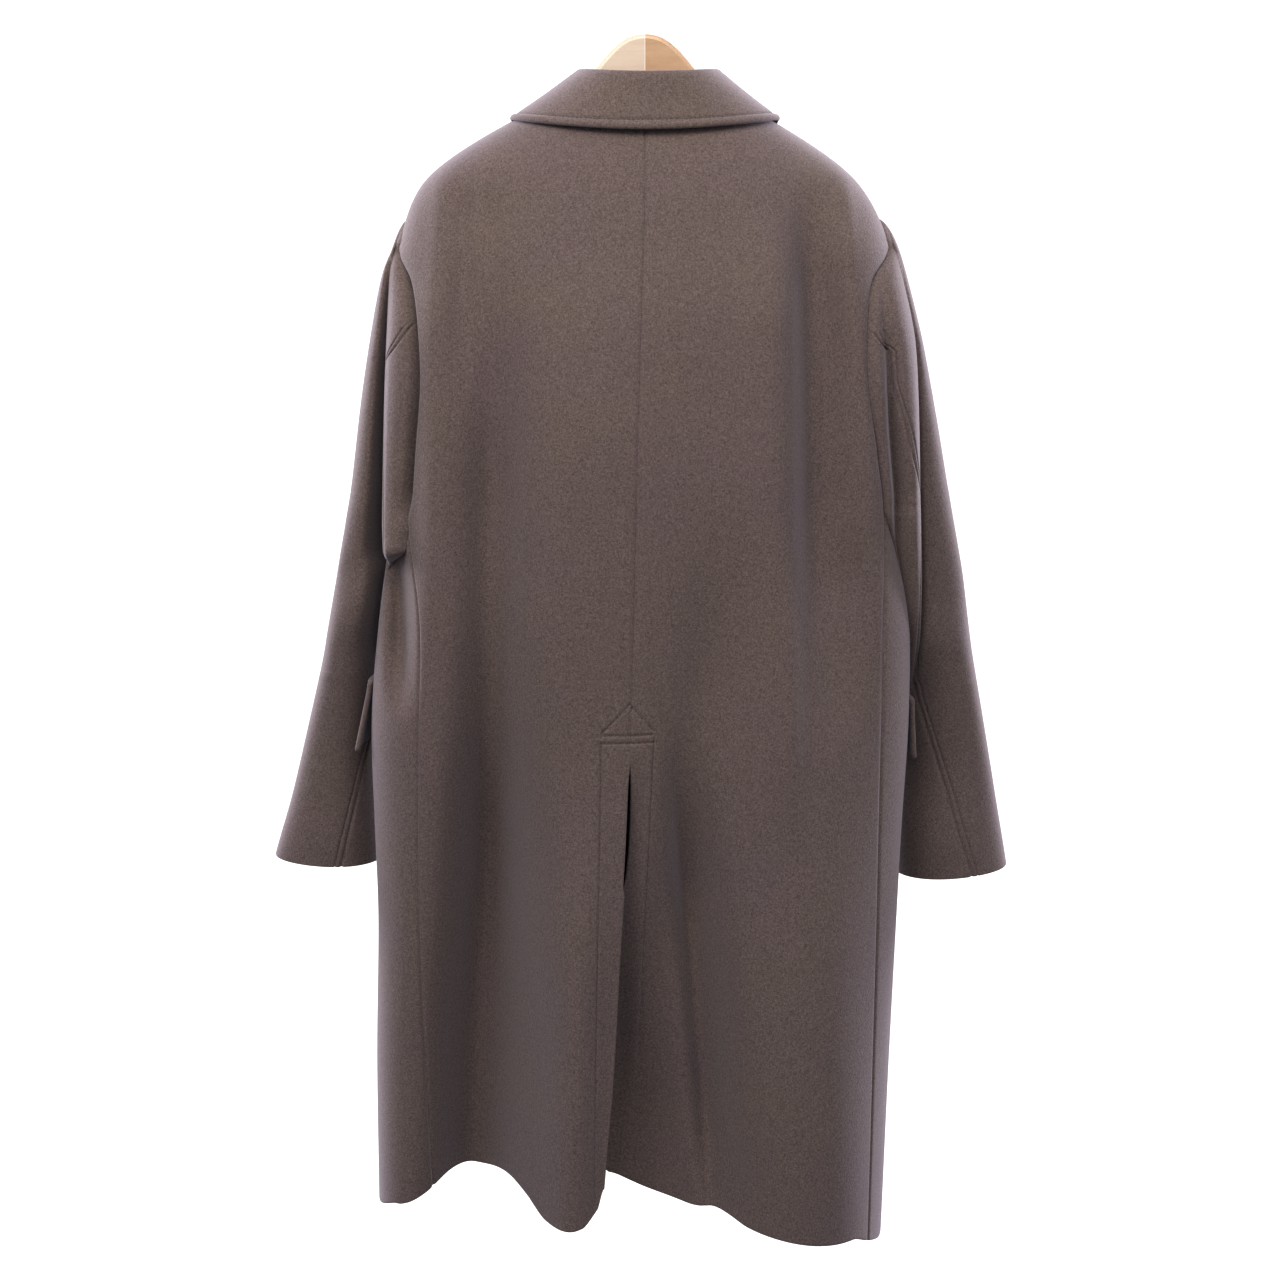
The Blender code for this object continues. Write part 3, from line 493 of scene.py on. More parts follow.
# Depth and half width of the cloth's roll along the armholes.
ROLL_DEEP, ROLL_WIDE = {-1: 0.0060, +1: 0.0015}, 0.0065


def outer_angle(rows, side):
    """Angle of the back panel's outer edge: the shoulder seam, the armhole, the side-back seam."""
    s = section(rows)
    name = SIDE_NAMES[side]
    return np.where(rows <= ARM_TOP, np.pi / 2, angle_at(s["seam_" + name] / s[name], s["square"]))


def overlap_dip(x):
    """Depth by which the right front passes under the left one, at a distance from the middle."""
    return OVERLAP_DIP * ease((OVERLAP_REACH - x) / OVERLAP_SLOPE)


def panel(rows, side, start, end, near, between, far):
    """Fine grid of a panel between two edges, sunk where the right panels pass under the left."""
    angle = start[:, None] + (end - start)[:, None] * np.linspace(0.0, 1.0, 520)
    dense = coat_face(rows[:, None], angle, side)
    if side > 0:
        x, z = dense[..., 0], dense[..., 2]
        lap = section(rows)["centre_left"][:, None] + UNDERLAP_REACH
        vent = UNDERLAP_DIP * ease((lap - x) / UNDERLAP_SLOPE) * ease((VENT_TOP - z) / 0.08)
        dip = np.where(np.cos(angle) > 0, vent, overlap_dip(x))
        dense = dense - dip[..., None] * facing_out(dense, -side)
    return set_out(dense, near, between, far)


def armhole_roll(rows, side):
    """Depth by which the cloth rolls down into the armhole seam: full down most of the armhole and
    easing to none at the shoulder and at the underarm."""
    return ROLL_DEEP[side] * ease((rows - 3.4) / 0.9) * ease((UNDERARM[side] - 0.05 - rows) / 0.5)


def off_line(x, z, first, last):
    """Distance in the back's own plane from a straight row of stitches."""
    run = np.subtract(last, first)
    share = np.clip(((x - first[0]) * run[0] + (z - first[1]) * run[1]) / (run @ run), 0, 1)
    return np.hypot(x - first[0] - share * run[0], z - first[1] - share * run[1])


# Stitched lines of the vent, across and up: triangle, two bars and a long row down each side.
APEX, CORNER_LEFT, CORNER_RIGHT = (-0.0143, -0.6150), (-0.0404, -0.6425), (0.0086, -0.6415)
BAR_Z = (-0.6450, -0.6525)
ROW_LEFT = ((-0.0413, -0.6525), (-0.0497, -1.125))
ROW_RIGHT = ((0.0088, -0.6480), (-0.0117, -1.118))
MIDDLE_X = -0.0138
VENT_ROWS = {
    -1: [(APEX, CORNER_LEFT)] + [((CORNER_LEFT[0], z), (MIDDLE_X - 0.001, z)) for z in BAR_Z] + [ROW_LEFT],
    +1: [(APEX, CORNER_RIGHT)] + [((MIDDLE_X + 0.001, z), (CORNER_RIGHT[0], z)) for z in BAR_Z] + [ROW_RIGHT],
}
NEAR_VENT = np.concatenate([NEAR_SEAM, np.linspace(0.0105, 0.0165, 5), np.arange(0.0172, 0.056, 0.00075)])
# Half width of the vent's slit, and the heights between which it opens and closes.
SLIT, SLIT_Z = 0.0017, (VENT_TOP + 0.006, VENT_TOP - 0.04, -0.795, -0.803)
# Depth and half width of the grooves along the outer seams, the centre seam and the stitching.
SEAM_DITCH, CENTRE_DITCH, STITCH_DITCH = (0.0016, 0.0019), (0.0012, 0.0018), (0.0013, 0.0011)
THREAD_SUNK = 0.0012
for side, name in SIDE_NAMES.items():
    s = section(PANEL_ROWS)
    inset = side * s["centre_" + name] + SLIT * fade(s["back_z"], *SLIT_Z)
    start = angle_at(inset / half_width(s, inset, side), s["square"])
    face, from_centre, from_edge = panel(PANEL_ROWS, side, start, outer_angle(PANEL_ROWS, side),
                                         NEAR_VENT, 56, NEAR_ARMHOLE)
    rolled = ditch(from_edge, armhole_roll(PANEL_ROWS, side)[:, None], ROLL_WIDE)
    face = face - rolled[..., None] * facing_out(face, -side)
    x, z = face[..., 0], face[..., 2]
    open_below = ease((VENT_TOP + 0.012 - z) / 0.012)
    press = (1 - open_below) * ditch(from_centre, *CENTRE_DITCH) + ditch(from_edge, *SEAM_DITCH)
    threads = []
    for first, last in VENT_ROWS[side]:
        press = press + ditch(off_line(x, z, first, last), *STITCH_DITCH)
        across, up_to = np.linspace(first, last, 60).T
        row_at = np.interp(-up_to, -s["back_z"], PANEL_ROWS)
        ring = section(row_at)
        turn = angle_at(side * across / half_width(ring, side * across, side), ring["square"])
        below, above, out, into = (coat_face(row_at + a, turn + b, side)
                                   for a, b in ((0.02, 0), (-0.02, 0), (0, 0.01), (0, -0.01)))
        up = np.cross(out - into, below - above) * -side
        up = up / np.linalg.norm(up, axis=1, keepdims=True)
        threads.append(sewn_row(coat_face(row_at, turn, side) - THREAD_SUNK * up, up))
    normal = facing_out(face, -side)
    cloth = layer(face, normal, -press, -(CLOTH + 0.5 * press), -side, (0.0, 1.0, open_below[:, 0], 0.0))
    made = cloth_piece("back_panel_" + name, [cloth], COAT_WOOL)
    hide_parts("back_" + name)
    stitched = cloth_piece("vent_stitching_" + name, threads, PAINTED_SHADE_THREAD)

# Fronts
# Each front wraps from the side-back seam round the side to the closing edge, and is joined to
# the back at the shoulder. Plain brushed wool, cut in one with the side of the coat.
OVERLAP = 0.028
NECK_X, NECK_Z, BREAK_Z = 0.0495, -0.096, -0.440
# Section row below which the front armhole turns under the arm.
ARM_TURN = 7.0


def front_outer_angle(rows, side):
    """Angle of the front's outer edge: shoulder seam, front armhole, side-back seam."""
    arm = np.radians(section(rows)["arm"])
    low = np.radians(section(np.array(ARM_TURN))["arm"])
    corner = outer_angle(np.array(UNDERARM[side]), side)
    share = np.clip((UNDERARM[side] - rows) / (UNDERARM[side] - ARM_TURN), 0, 1)
    arm = np.where(rows > ARM_TURN, corner + (low - corner) * share ** 0.6, arm)
    arm = np.where(rows <= ARM_TOP, np.pi / 2, arm)
    return np.where(rows >= UNDERARM[side], outer_angle(rows, side), arm)


def roll_line(s):
    """Distance from the middle of the lapel's roll line and, below it, of the closing edge."""
    share = np.clip((NECK_Z - s["front_z"]) / (NECK_Z - BREAK_Z), 0, 1)
    return NECK_X - (NECK_X + OVERLAP) * share


for side, name in SIDE_NAMES.items():
    s = section(PANEL_ROWS)
    inner_angle = np.pi - angle_at(roll_line(s) / s[name], s["square"])
    face, from_seam, _ = panel(PANEL_ROWS, side, front_outer_angle(PANEL_ROWS, side), inner_angle,
                               NEAR_SEAM, 110, NEAR_SEAM)
    press = ditch(from_seam, *SEAM_DITCH)
    normal = facing_out(face, -side)
    cloth = layer(face, normal, -press, -(CLOTH + 0.5 * press), -side, (0.0, 1.0, 0.0, 1.0))
    made = cloth_piece("front_panel_" + name, [cloth], COAT_WOOL)
    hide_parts("front_" + name)

# Sleeves
# Two-piece sleeves set into the armholes. They hang in soft lobes behind the arm, and the back
# seam is topstitched, so that it shows as a double line.

# Level slices of each sleeve from the shoulder to the cuff in millimetres, as distances from the
# middle: height, inner edge and its depth, outer edge, depth of the outer edge, of the back and of
# the front, the valley between two lobes and its depth, the edge of the last lobe, the depth of the
# cloth beyond that edge, and the depth and width of the crevice there. Above the underarm the inner
# edge is the armhole itself. A valley inside the inner edge leaves one lobe, as on the left.
ONE_LOBE = (200, 0)
SLEEVE_COLUMNS = ("z", "inner", "inner_y", "outer", "mid", "back", "front",
                  "valley", "sunk", "edge", "edge_y", "slot", "slot_wide")
SLEEVES = {
    "left": np.array([
        (-169, 223.5, -5, 224.3, -5, -7, -3, *ONE_LOBE, 224, -5, 0, 3),
        (-174, 224.5, -12, 230.5, -5, -18, 6, *ONE_LOBE, 228.5, -10, 0, 3),
        (-184, 225.5, -23, 236, -6, -30, 14, *ONE_LOBE, 232.5, -18, 0, 3),
        (-199, 225.2, -36, 241.5, -8, -44, 22, *ONE_LOBE, 237.5, -26, 3, 3),
        (-224, 219.5, -60, 251.5, -10, -66, 34, *ONE_LOBE, 241.8, -36, 8, 4),
        (-276, 213.5, -70, 262.5, -12, -78, 44, *ONE_LOBE, 245, -46, 18, 5),
        (-342, 214.5, -72, 274, -13, -82, 48, *ONE_LOBE, 248.7, -50, 28, 7),
        (-420, 222.5, -78, 285.1, -14, -84, 50, *ONE_LOBE, 252.7, -49, 40, 9),
        (-455, 225, -77.5, 291.5, -15, -85, 51, *ONE_LOBE, 254, -47, 50, 11),
        (-478, 228.8, -80, 296, -15, -85, 52, *ONE_LOBE, 253.5, -45, 56, 13),
        (-487, 236.5, -70, 297.8, -15, -82, 52, *ONE_LOBE, 252.8, -45, 58, 14),
        (-493, 241.8, -57, 299, -15, -80, 52, *ONE_LOBE, 251.8, -44, 58, 14),
        (-506, 246.6, -46, 301.5, -14, -76, 52, *ONE_LOBE, 249, -43, 58, 14),
        (-522, 250, -32, 305, -9, -66, 55, *ONE_LOBE, 250.6, -42, 56, 14),
        (-571, 259, -5, 316, 6, -40, 66, *ONE_LOBE, 259.6, -36, 40, 14),
        (-605, 264, 20, 323.6, 15, -30, 70, *ONE_LOBE, 264.6, -30, 22, 12),
        (-670, 270, 45, 340.5, 22, -21, 74, *ONE_LOBE, 270.6, -20, 6, 10),
        (-740, 271, 55, 359, 27, -16, 76, *ONE_LOBE, 271.6, -10, 0, 8),
        (-817, 269, 53, 381, 31, -12, 74, *ONE_LOBE, 269.6, 0, 0, 8),
    ]) / 1000,
    "right": np.array([
        (-169, 221.5, -5, 222.3, -5, -7, -3, 221.7, 0, 222, -5, 0, 3),
        (-174, 222.5, -12, 229, -5, -18, 6, 223.5, 0, 226.5, -10, 0, 3),
        (-184, 223.5, -23, 236, -6, -30, 14, 225, 0, 232, -18, 0, 3),
        (-199, 221.5, -36, 242.5, -8, -46, 24, 225, 0, 236.5, -28, 0, 3),
        (-220, 215, -56, 249, -9, -64, 32, 220, 0, 241.5, -38, 0, 3),
        (-262, 208, -72, 260.5, -11, -76, 42, 221.5, 1, 251.5, -46, 0, 3),
        (-296, 208, -76, 269, -12, -80, 45, 225.2, 8, 256.5, -48, 2, 3),
        (-360, 215, -76, 282.5, -13, -83, 48, 229.7, 14, 260, -50, 4, 3),
        (-417, 224, -73, 293.5, -14, -84, 50, 236.2, 14, 262.5, -50, 5, 3),
        (-429, 225.2, -71, 296, -14, -84, 51, 237.4, 14, 263.2, -50, 5, 3),
        (-451.4, 230, -73.5, 300.5, -14, -84, 52, 238.5, 12, 264.5, -49, 5, 3),
        (-478, 238, -65.5, 306, -14, -84, 52, 241.5, 9, 266, -47, 5, 3),
        (-517, 247, -53.5, 314.2, -8, -68, 56, 248, 6, 268.2, -43, 5, 3),
        (-575, 254, -36, 324.5, 8, -45, 67, 254.8, 3, 270, -34, 5, 3),
        (-605, 256, -10, 330.4, 15, -33, 71, 256.5, 0, 269, -30, 4, 3),
        (-670, 257, 25, 344, 22, -22, 76, 257.5, 0, 266, -22, 1, 3),
        (-740, 256, 45, 358, 27, -17, 78, 256.2, 0, 256.6, -10, 0, 3),
        (-825, 257, 50, 374, 31, -14, 78, 257.2, 0, 257.6, 0, 0, 3),
    ]) / 1000,
}
# Way of the back seam down each sleeve in millimetres, as heights and distances from the middle.
BACK_SEAM = {
    "left": np.array([(-263, -300, -320, -506, -522, -571, -605, -650, -688, -740, -817),
                      (214, 245, 249, 249, 250.6, 260, 265.2, 271.2, 279, 290, 308)]) / 1000,
    "right": np.array([(-270, -290, -319, -406, -430, -620, -640, -731, -825),
                       (208, 226.5, 229.4, 258, 264, 269, 272.5, 302.7, 332.5)]) / 1000,
}
# Down to these heights the back seam stays within the last lobe.
SEAM_FREE = {"left": -0.612, "right": -0.620}
# Height at which the front seam leaves the armhole.
FRONT_SEAM_Z = -0.300
# How far the cuff's outer and inner end lie above the last slice.
CUFF_TILT = {"left": (0.006, 0.000), "right": (0.004, -0.006)}
# How much deeper the back of the sleeve lies beside the body than further out.
SLEEVE_LEAN = {"left": 0.012, "right": 0.028}
# Height of a lobe for each unit of its width, and how far its outer edge is turned forward.
LOBE_ARCH = 0.22
LOBE_TILT = {"left": 0.008, "right": 0.0}
# Widths over which a lobe tucks in at the inner edge, and rolls over at its outer edge.
LOBE_TUCK, LOBE_ROLL = 0.013, 0.008
# Depth that the lobes keep at the height LOBE_HOLD_Z, and at LOBE_HOLD_DROP below it.
LOBE_DEPTH = {"left": (0.0, 0.0), "right": (-0.079, -0.036)}
LOBE_HOLD_Z, LOBE_HOLD_DROP = -0.445, 0.170
# Height at which the lobes start to pass into the round lower sleeve, and the drop that it takes.
LOBE_END = {"left": -0.500, "right": -0.530}
LOBE_END_DROP = 0.110
# How far the sleeve's edge passes under the armhole, across and in depth.
UNDER_ARMHOLE = (-0.0020, 0.0012)


def sleeve_slices(name, side):
    """Sizes of a sleeve's level slices by name, and the underarm's height. To the table's columns
    it adds the height, the edge beside the body of the back (inner) and of the front (end), which
    follow the armhole above the underarm, and the depth of the armhole's roll."""
    table = SLEEVES[name]
    arm_rows = np.linspace(ARM_TOP, UNDERARM[side], 400)
    back_edge = coat_face(arm_rows, outer_angle(arm_rows, side), side)
    front_edge = coat_face(arm_rows, front_outer_angle(arm_rows, side), side)
    underarm = back_edge[-1, 2]
    top, cuff = table[0, 0], table[-1, 0]
    stretches = ((top, -0.203, 18), (-0.206, -0.259, 14), (-0.261, -0.307, 24), (-0.311, -0.420, 28),
                 (-0.4218, -0.512, 50), (-0.516, cuff + 0.005, 48), (cuff + 0.004, cuff, 7))
    z = np.concatenate([np.linspace(*stretch) for stretch in stretches])
    fine = np.linspace(0, len(table) - 1, 3001)
    values = through(table, np.interp(-z, -through(table, fine)[:, 0], fine))
    c = {key: values[:, i:i + 1] for i, key in enumerate(SLEEVE_COLUMNS)}
    z = z[:, None]
    on_arm = ease((z - underarm) / 0.035 + 1) * ease((-0.190 - z) / 0.012)
    under_x, under_y = UNDER_ARMHOLE
    tucked = ((back_edge, 0, side, under_x, "inner"), (back_edge, 1, 1, under_y, "inner_y"),
              (front_edge, 0, side, under_x, "inner"), (front_edge, 1, 1, -under_y, "inner_y"))
    inner, inner_y, end, end_y = (
        c[key] + (np.interp(-z, -rim[:, 2], scale * rim[:, i]) + under - c[key]) * on_arm
        for rim, i, scale, under, key in tucked)
    roll_in = armhole_roll(np.interp(-z, -back_edge[:, 2], arm_rows), side)
    cap = ease((z + 0.203) / 0.012)
    c.update(z=z, inner=inner - 0.5 * roll_in, inner_y=inner_y, end=end,
             end_y=end_y + (0.6 * c["front"] - end_y) * cap, roll_in=roll_in)
    return c, underarm


def bow(share, power):
    """Share by which a rounded edge has turned away: one less the height of an oval of this power."""
    return 1 - np.sqrt(np.clip(1 - share ** power, 0, 1))


def sleeve_back(c, name):
    """Back of a sleeve, across and in depth, from the inner to the outer edge: above the underarm
    a quarter oval that starts at the armhole, below it a half oval. Its lobes swell as half sines,
    and the last one rolls over its edge into the crevice as a quarter circle. Also gives that edge."""
    z, inner, inner_y, outer, mid, edge_y = (
        c[key] for key in ("z", "inner", "inner_y", "outer", "mid", "edge_y"))
    valley = np.maximum(c["valley"], inner + 0.0002)
    edge = np.maximum(c["edge"], valley + 0.0002)
    even = np.linspace(0.0, 1.0, 90)
    lobes = np.concatenate([inner + (valley - inner) * even, valley + (edge - valley) * even[1:]], axis=1)
    arch = np.concatenate([(valley - inner) * np.sin(np.pi * even),
                           (edge - valley) * np.sin(np.pi * even[1:])], axis=1)
    beyond = edge + (outer - edge) * np.sin(np.pi / 2 * np.linspace(0.0, 1.0, 110))
    x = np.concatenate([lobes, beyond], axis=1)
    share = (x - inner) / (outer - inner)
    past = (beyond - edge) / (outer - edge)
    count = lobes.shape[1]
    above, below = LOBE_DEPTH[name]
    held = np.minimum(inner_y, above + (below - above) * np.clip((LOBE_HOLD_Z - z) / LOBE_HOLD_DROP, 0, 1))
    level = inner_y + (held - inner_y) * ease((-0.400 - z) / 0.030)
    tuck = np.clip(1 - (x - inner) / LOBE_TUCK, 0, 1)
    quarter_oval = level + (mid - level) * bow(share, 2.2) + (inner_y - level) * bow(tuck, 2)
    quarter_oval[:, count:] = edge_y + (mid - edge_y) * bow(past, 2.2)
    line = inner_y + (mid - inner_y) * share
    lean = SLEEVE_LEAN[name] * np.clip(1 - share, 0, 1) ** 1.4 * fade(z, -0.480, -0.580, -0.700, -0.800)
    half_oval = line - (line - (c["back"] + lean)) * np.clip(1 - (2 * share - 1) ** 2, 0, 1) ** 0.42
    y = quarter_oval + (half_oval - quarter_oval) * ease((LOBE_END[name] - z) / LOBE_END_DROP)
    lobe_y, beyond_y = y[:, :count], y[:, count:]
    lobe_y += LOBE_TILT[name] * (lobes - inner) / (edge - inner) * fade(z, -0.200, -0.260, -0.440, -0.500)
    roll = np.clip((lobes - edge) / LOBE_ROLL + 1, 0, 1)
    drop = np.maximum(beyond_y[:, :1] - lobe_y[:, -1:], 0) + c["slot"]
    lobe_y += (c["sunk"] * swell(lobes - valley, 0.0032, 0.0110)
               + ditch(lobes - inner, 0.87 * c["roll_in"], ROLL_WIDE)
               - LOBE_ARCH * arch * fade(z, -0.195, -0.260, -0.480, -0.620)
               + bow(roll, 2) * 0.6 * drop)
    beyond_y += c["slot"] * np.exp(-((beyond - edge) / c["slot_wide"]) ** 2) * (1 - past)
    return x, y, edge


def sleeve_face(name, side):
    """Outer face of a sleeve in level slices: its back, then a front that is a cubic Bezier curve
    from the outer edge to the edge beside the body. Also gives the height of each slice, and the
    columns of the back seam and of the front seam."""
    c, underarm = sleeve_slices(name, side)
    x, y, edge = sleeve_back(c, name)
    z, inner, outer, mid, end, end_y = (c[key] for key in ("z", "inner", "outer", "mid", "end", "end_y"))
    closed = ease((underarm - z) / 0.05)
    turn_x = end + 0.45 * (outer - end) * (1 - closed) + 0.012 * closed
    turn_y = (c["front"] - (mid + end_y) / 8) / 0.75
    t = np.linspace(0.0, 1.0, 150)[1:]
    leave, turn_out, turn_in, arrive = (1 - t) ** 3, 3 * (1 - t) ** 2 * t, 3 * (1 - t) * t ** 2, t ** 3
    front_x = (leave + turn_out) * outer + turn_in * turn_x + arrive * end
    front_y = leave * mid + (turn_out + turn_in) * turn_y + arrive * end_y
    height = z[:, 0]
    seam_z, seam_way = BACK_SEAM[name]
    seam_x = np.interp(-height, -seam_z, seam_way)
    held_x = np.where(height < -0.310, edge[:, 0] - 0.0003, edge[:, 0])
    seam_x = np.where(height > SEAM_FREE[name], np.minimum(seam_x, held_x), seam_x)
    back_seam = np.array([np.interp(at, row, np.arange(len(row))) for at, row in zip(seam_x, x)])
    back_seam = np.where(height > seam_z[0], 0.0, back_seam)
    x, y = np.concatenate([x, front_x], axis=1), np.concatenate([y, front_y], axis=1)
    front_seam = x.shape[1] - 1 - 0.55 * len(t) * ease((FRONT_SEAM_Z - height) / 0.05)
    out, into = CUFF_TILT[name]
    across = (x - inner) / (outer - inner)
    tilted = z + (into + (out - into) * across) * ease((-0.740 - z) / 0.080)
    return np.stack([side * x, y, tilted], -1), height, back_seam, front_seam


SLEEVE_CLOTH, SLEEVE_DITCH = 0.0018, (0.0016, 0.0018)
TOPSTITCH = 0.0068
NEAR_TOPSTITCH = np.concatenate([
    NEAR_SEAM[:6], TOPSTITCH + np.array([-0.0014, -0.0007, 0.0, 0.0007, 0.0014, 0.0024])])
for side, name in SIDE_NAMES.items():
    face, height, back_seam, front_seam = sleeve_face(name, side)
    last_column = np.full(len(height), face.shape[1] - 1.0)
    sewn_below = BACK_SEAM[name][0][0] - 0.001
    cuts = (("top", np.ones(len(height), bool), back_seam, front_seam),
            ("under", np.append(back_seam[1:] > 0, True), back_seam, 0 * back_seam),
            ("under", np.append(front_seam[1:] < last_column[0], True), last_column, front_seam))
    made_parts = {"top": [], "under": []}
    for label, kept, first, last in cuts:
        first, last, line = first[kept, None], last[kept, None], np.flatnonzero(kept)[:, None]
        column = first + (last - first) * np.linspace(0.0, 1.0, 560)
        low = np.clip(np.floor(column).astype(int), 0, face.shape[1] - 2)
        part = (column - low)[..., None]
        strip = face[line, low] * (1 - part) + face[line, low + 1] * part
        turn, near, between = (-side, NEAR_TOPSTITCH, 150) if label == "top" else (side, NEAR_SEAM, 60)
        grid, from_first, _ = set_out(strip, near, between, NEAR_SEAM)
        sewn = ease((sewn_below - height[kept, None]) / 0.004)
        press = sewn * ditch(from_first, *SLEEVE_DITCH)
        if label == "top":
            press = press + sewn * ditch(from_first - TOPSTITCH, *STITCH_DITCH)
        normal = facing_out(grid, turn)
        below = -(SLEEVE_CLOTH + 0.5 * press)
        made_parts[label].append(layer(grid, normal, -press, below, turn, (0.0, 1.0, 0.0, 0.0)))
        if label == "top":
            stitch = int(np.argmin(np.abs(near - TOPSTITCH)))
            shown = height < sewn_below - 0.004
            outer = grid - press[..., None] * normal
            thread = sewn_row(outer[shown, stitch], normal[shown, stitch])
    stitched = cloth_piece("sleeve_stitching_" + name, [thread], PAINTED_SHADE_THREAD)
    made = cloth_piece("sleeve_%s_top_cloth" % name, made_parts["top"], COAT_WOOL)
    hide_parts("sleeve_%s_top" % name)
    made = cloth_piece("sleeve_%s_under_cloth" % name, made_parts["under"], COAT_WOOL)
    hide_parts("sleeve_%s_under" % name)

# Collar
# One folded piece: a stand sewn to the neck, rolled over and down into a fall with a stitched,
# rounded edge. Two thicknesses of the coat's wool.

# Rings from the neck seam over the fold to the fall's edge in millimetres: height at the side, back
# and front, half width, depth behind and before, shift to the side, and the angle where it ends.
COLLAR_COLUMNS = ("side_z", "back_z", "front_z", "half", "back", "front", "shift", "end")
COLLAR = np.array([
    (-61.2, -75.2, -128.8, 68.8, 63.8, 59.8, 0.8, 137),
    (-49, -57, -131, 64.8, 63.2, 60.2, 2.2, 137),
    (-37.2, -42.2, -130.2, 61.2, 63.2, 60.7, 3.5, 137),
    (-32.5, -37.5, -126, 65.5, 69, 66.5, 3.5, 137),
    (-36.4, -41.4, -132.4, 71.5, 74.5, 72.5, 3, 137),
    (-56, -64, -193, 98, 79, 94, 1.5, 130),
    (-76, -88, -252, 127, 85, 118, 0, 122),
])
COLLAR[:, :-1] /= 1000
COLLAR_STITCH, COLLAR_DITCH = 0.0075, (0.0008, 0.0012)
COLLAR_CLOTH, COLLAR_FOLD_THINNER, COLLAR_PLUMP = 0.0026, 0.0010, 0.0012
NEAR_EDGE = np.concatenate([[0, 0.0006, 0.0014, 0.0024, 0.0036, 0.0050],
                            COLLAR_STITCH + np.array([-0.0014, -0.0007, 0, 0.0007, 0.0014, 0.0026])])
ring_rows = np.linspace(0.0, len(COLLAR) - 1.0, 400)
c = dict(zip(COLLAR_COLUMNS, np.moveaxis(through(COLLAR, ring_rows), -1, 0)[:, :, None]))
turn = np.radians(c["end"]) * np.linspace(-1, 1, 221)
cosine, sine = np.cos(turn), np.sin(turn)
dense = np.stack([
    c["shift"] + c["half"] * sine,
    -np.where(cosine >= 0, c["back"], c["front"]) * cosine,
    c["side_z"] + (np.where(cosine >= 0, c["back_z"], c["front_z"]) - c["side_z"]) * cosine ** 2,
], -1)
fall, from_edge, from_neck = set_out(np.swapaxes(dense[::-1], 0, 1), NEAR_EDGE, 40, NEAR_SEAM)
fall, from_edge, from_neck = np.swapaxes(fall, 0, 1), from_edge.T, from_neck.T
normal = facing_out(fall, 1)
press = ditch(from_edge - COLLAR_STITCH, *COLLAR_DITCH)
plump = COLLAR_PLUMP * np.exp(-((from_edge - 0.0024) / 0.0028) ** 2)
thick = COLLAR_CLOTH - COLLAR_FOLD_THINNER * np.exp(-((from_neck - 0.045) / 0.02) ** 2)
cloth = layer(fall, normal, plump - press, -thick, 1, (1.0, 0.0, 1.0, 1.0))
made = cloth_piece("collar_cloth", [cloth], COAT_WOOL)
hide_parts("collar")
row = int(np.argmin(np.abs(NEAR_EDGE - COLLAR_STITCH)))
outer = fall + (plump - press)[..., None] * normal
stitched = cloth_piece("collar_stitching", [sewn_row(outer[row, 2:-2], normal[row, 2:-2])], PAINTED_SHADE_THREAD)

# Lapels
# The upper part of each front, turned back along the roll line and lying on the front. Same wool,
# rounded at its edges.

# Section rows of the inner and the outer edge, bend of the gorge, widths in degrees from the top
# down, lift off the front, swell of the middle and of the top, inset from the roll line, and the
# right lapel's gap to the left front.
LAPEL_INNER_ROWS, LAPEL_OUTER_ROWS, GORGE_BEND = (0.22, 7.50), (1.70, 7.52), 1.7
LAPEL_WIDTHS = np.array([34.0, 26.0, 18.0, 10.0, 2.5])
LAPEL_LIFT = {"left": 0.0009, "right": 0.0016}
LAPEL_SWELL, LAPEL_TOP_SWELL = 0.0020, 0.0020
LAPEL_INSET, LAPEL_GAP = 0.001, 0.0025


def lapel_inner_angle(rows, side):
    """Angle of the lapel's inner edge. The right lapel stops at the left front's edge."""
    s = section(rows)
    own = roll_line(s) + LAPEL_INSET
    if side > 0:
        own = np.maximum(own, LAPEL_GAP - own)
    return np.pi - angle_at(own / s[SIDE_NAMES[side]], s["square"])


for side, name in SIDE_NAMES.items():
    down, out = np.linspace(0, 1, 90)[:, None], np.linspace(0, 1, 28)[None, :]
    inner_row, outer_row = (top + (low - top) * down for top, low in (LAPEL_INNER_ROWS, LAPEL_OUTER_ROWS))
    rows = inner_row + (outer_row - inner_row) * out ** GORGE_BEND
    width = np.radians(through(LAPEL_WIDTHS[:, None], down[:, 0] * 4)[:, 0])[:, None]
    angle = lapel_inner_angle(rows, side) - width * out
    base = coat_face(rows, angle, side)
    normal = facing_out(base, side)
    if side > 0:
        base = base - overlap_dip(base[..., 0])[..., None] * normal
    lift = LAPEL_LIFT[name] + LAPEL_SWELL * np.sin(np.pi * out) ** 2 + LAPEL_TOP_SWELL * (1 - down) ** 3
    cloth = layer(base, normal, lift + CLOTH, lift, side, (1.0, 1.0, 1.0, 1.0))
    made = cloth_piece("lapel_%s_cloth" % name, [cloth], COAT_WOOL)
    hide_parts("lapel_" + name)

# Pocket flaps
# A flap of doubled wool over each pocket, sewn along its top edge. The lower edge stands off the
# front, and all but the top edge are turned and rounded.
FLAP_CLOTH, FLAP_LIFT = 0.0050, 0.0004
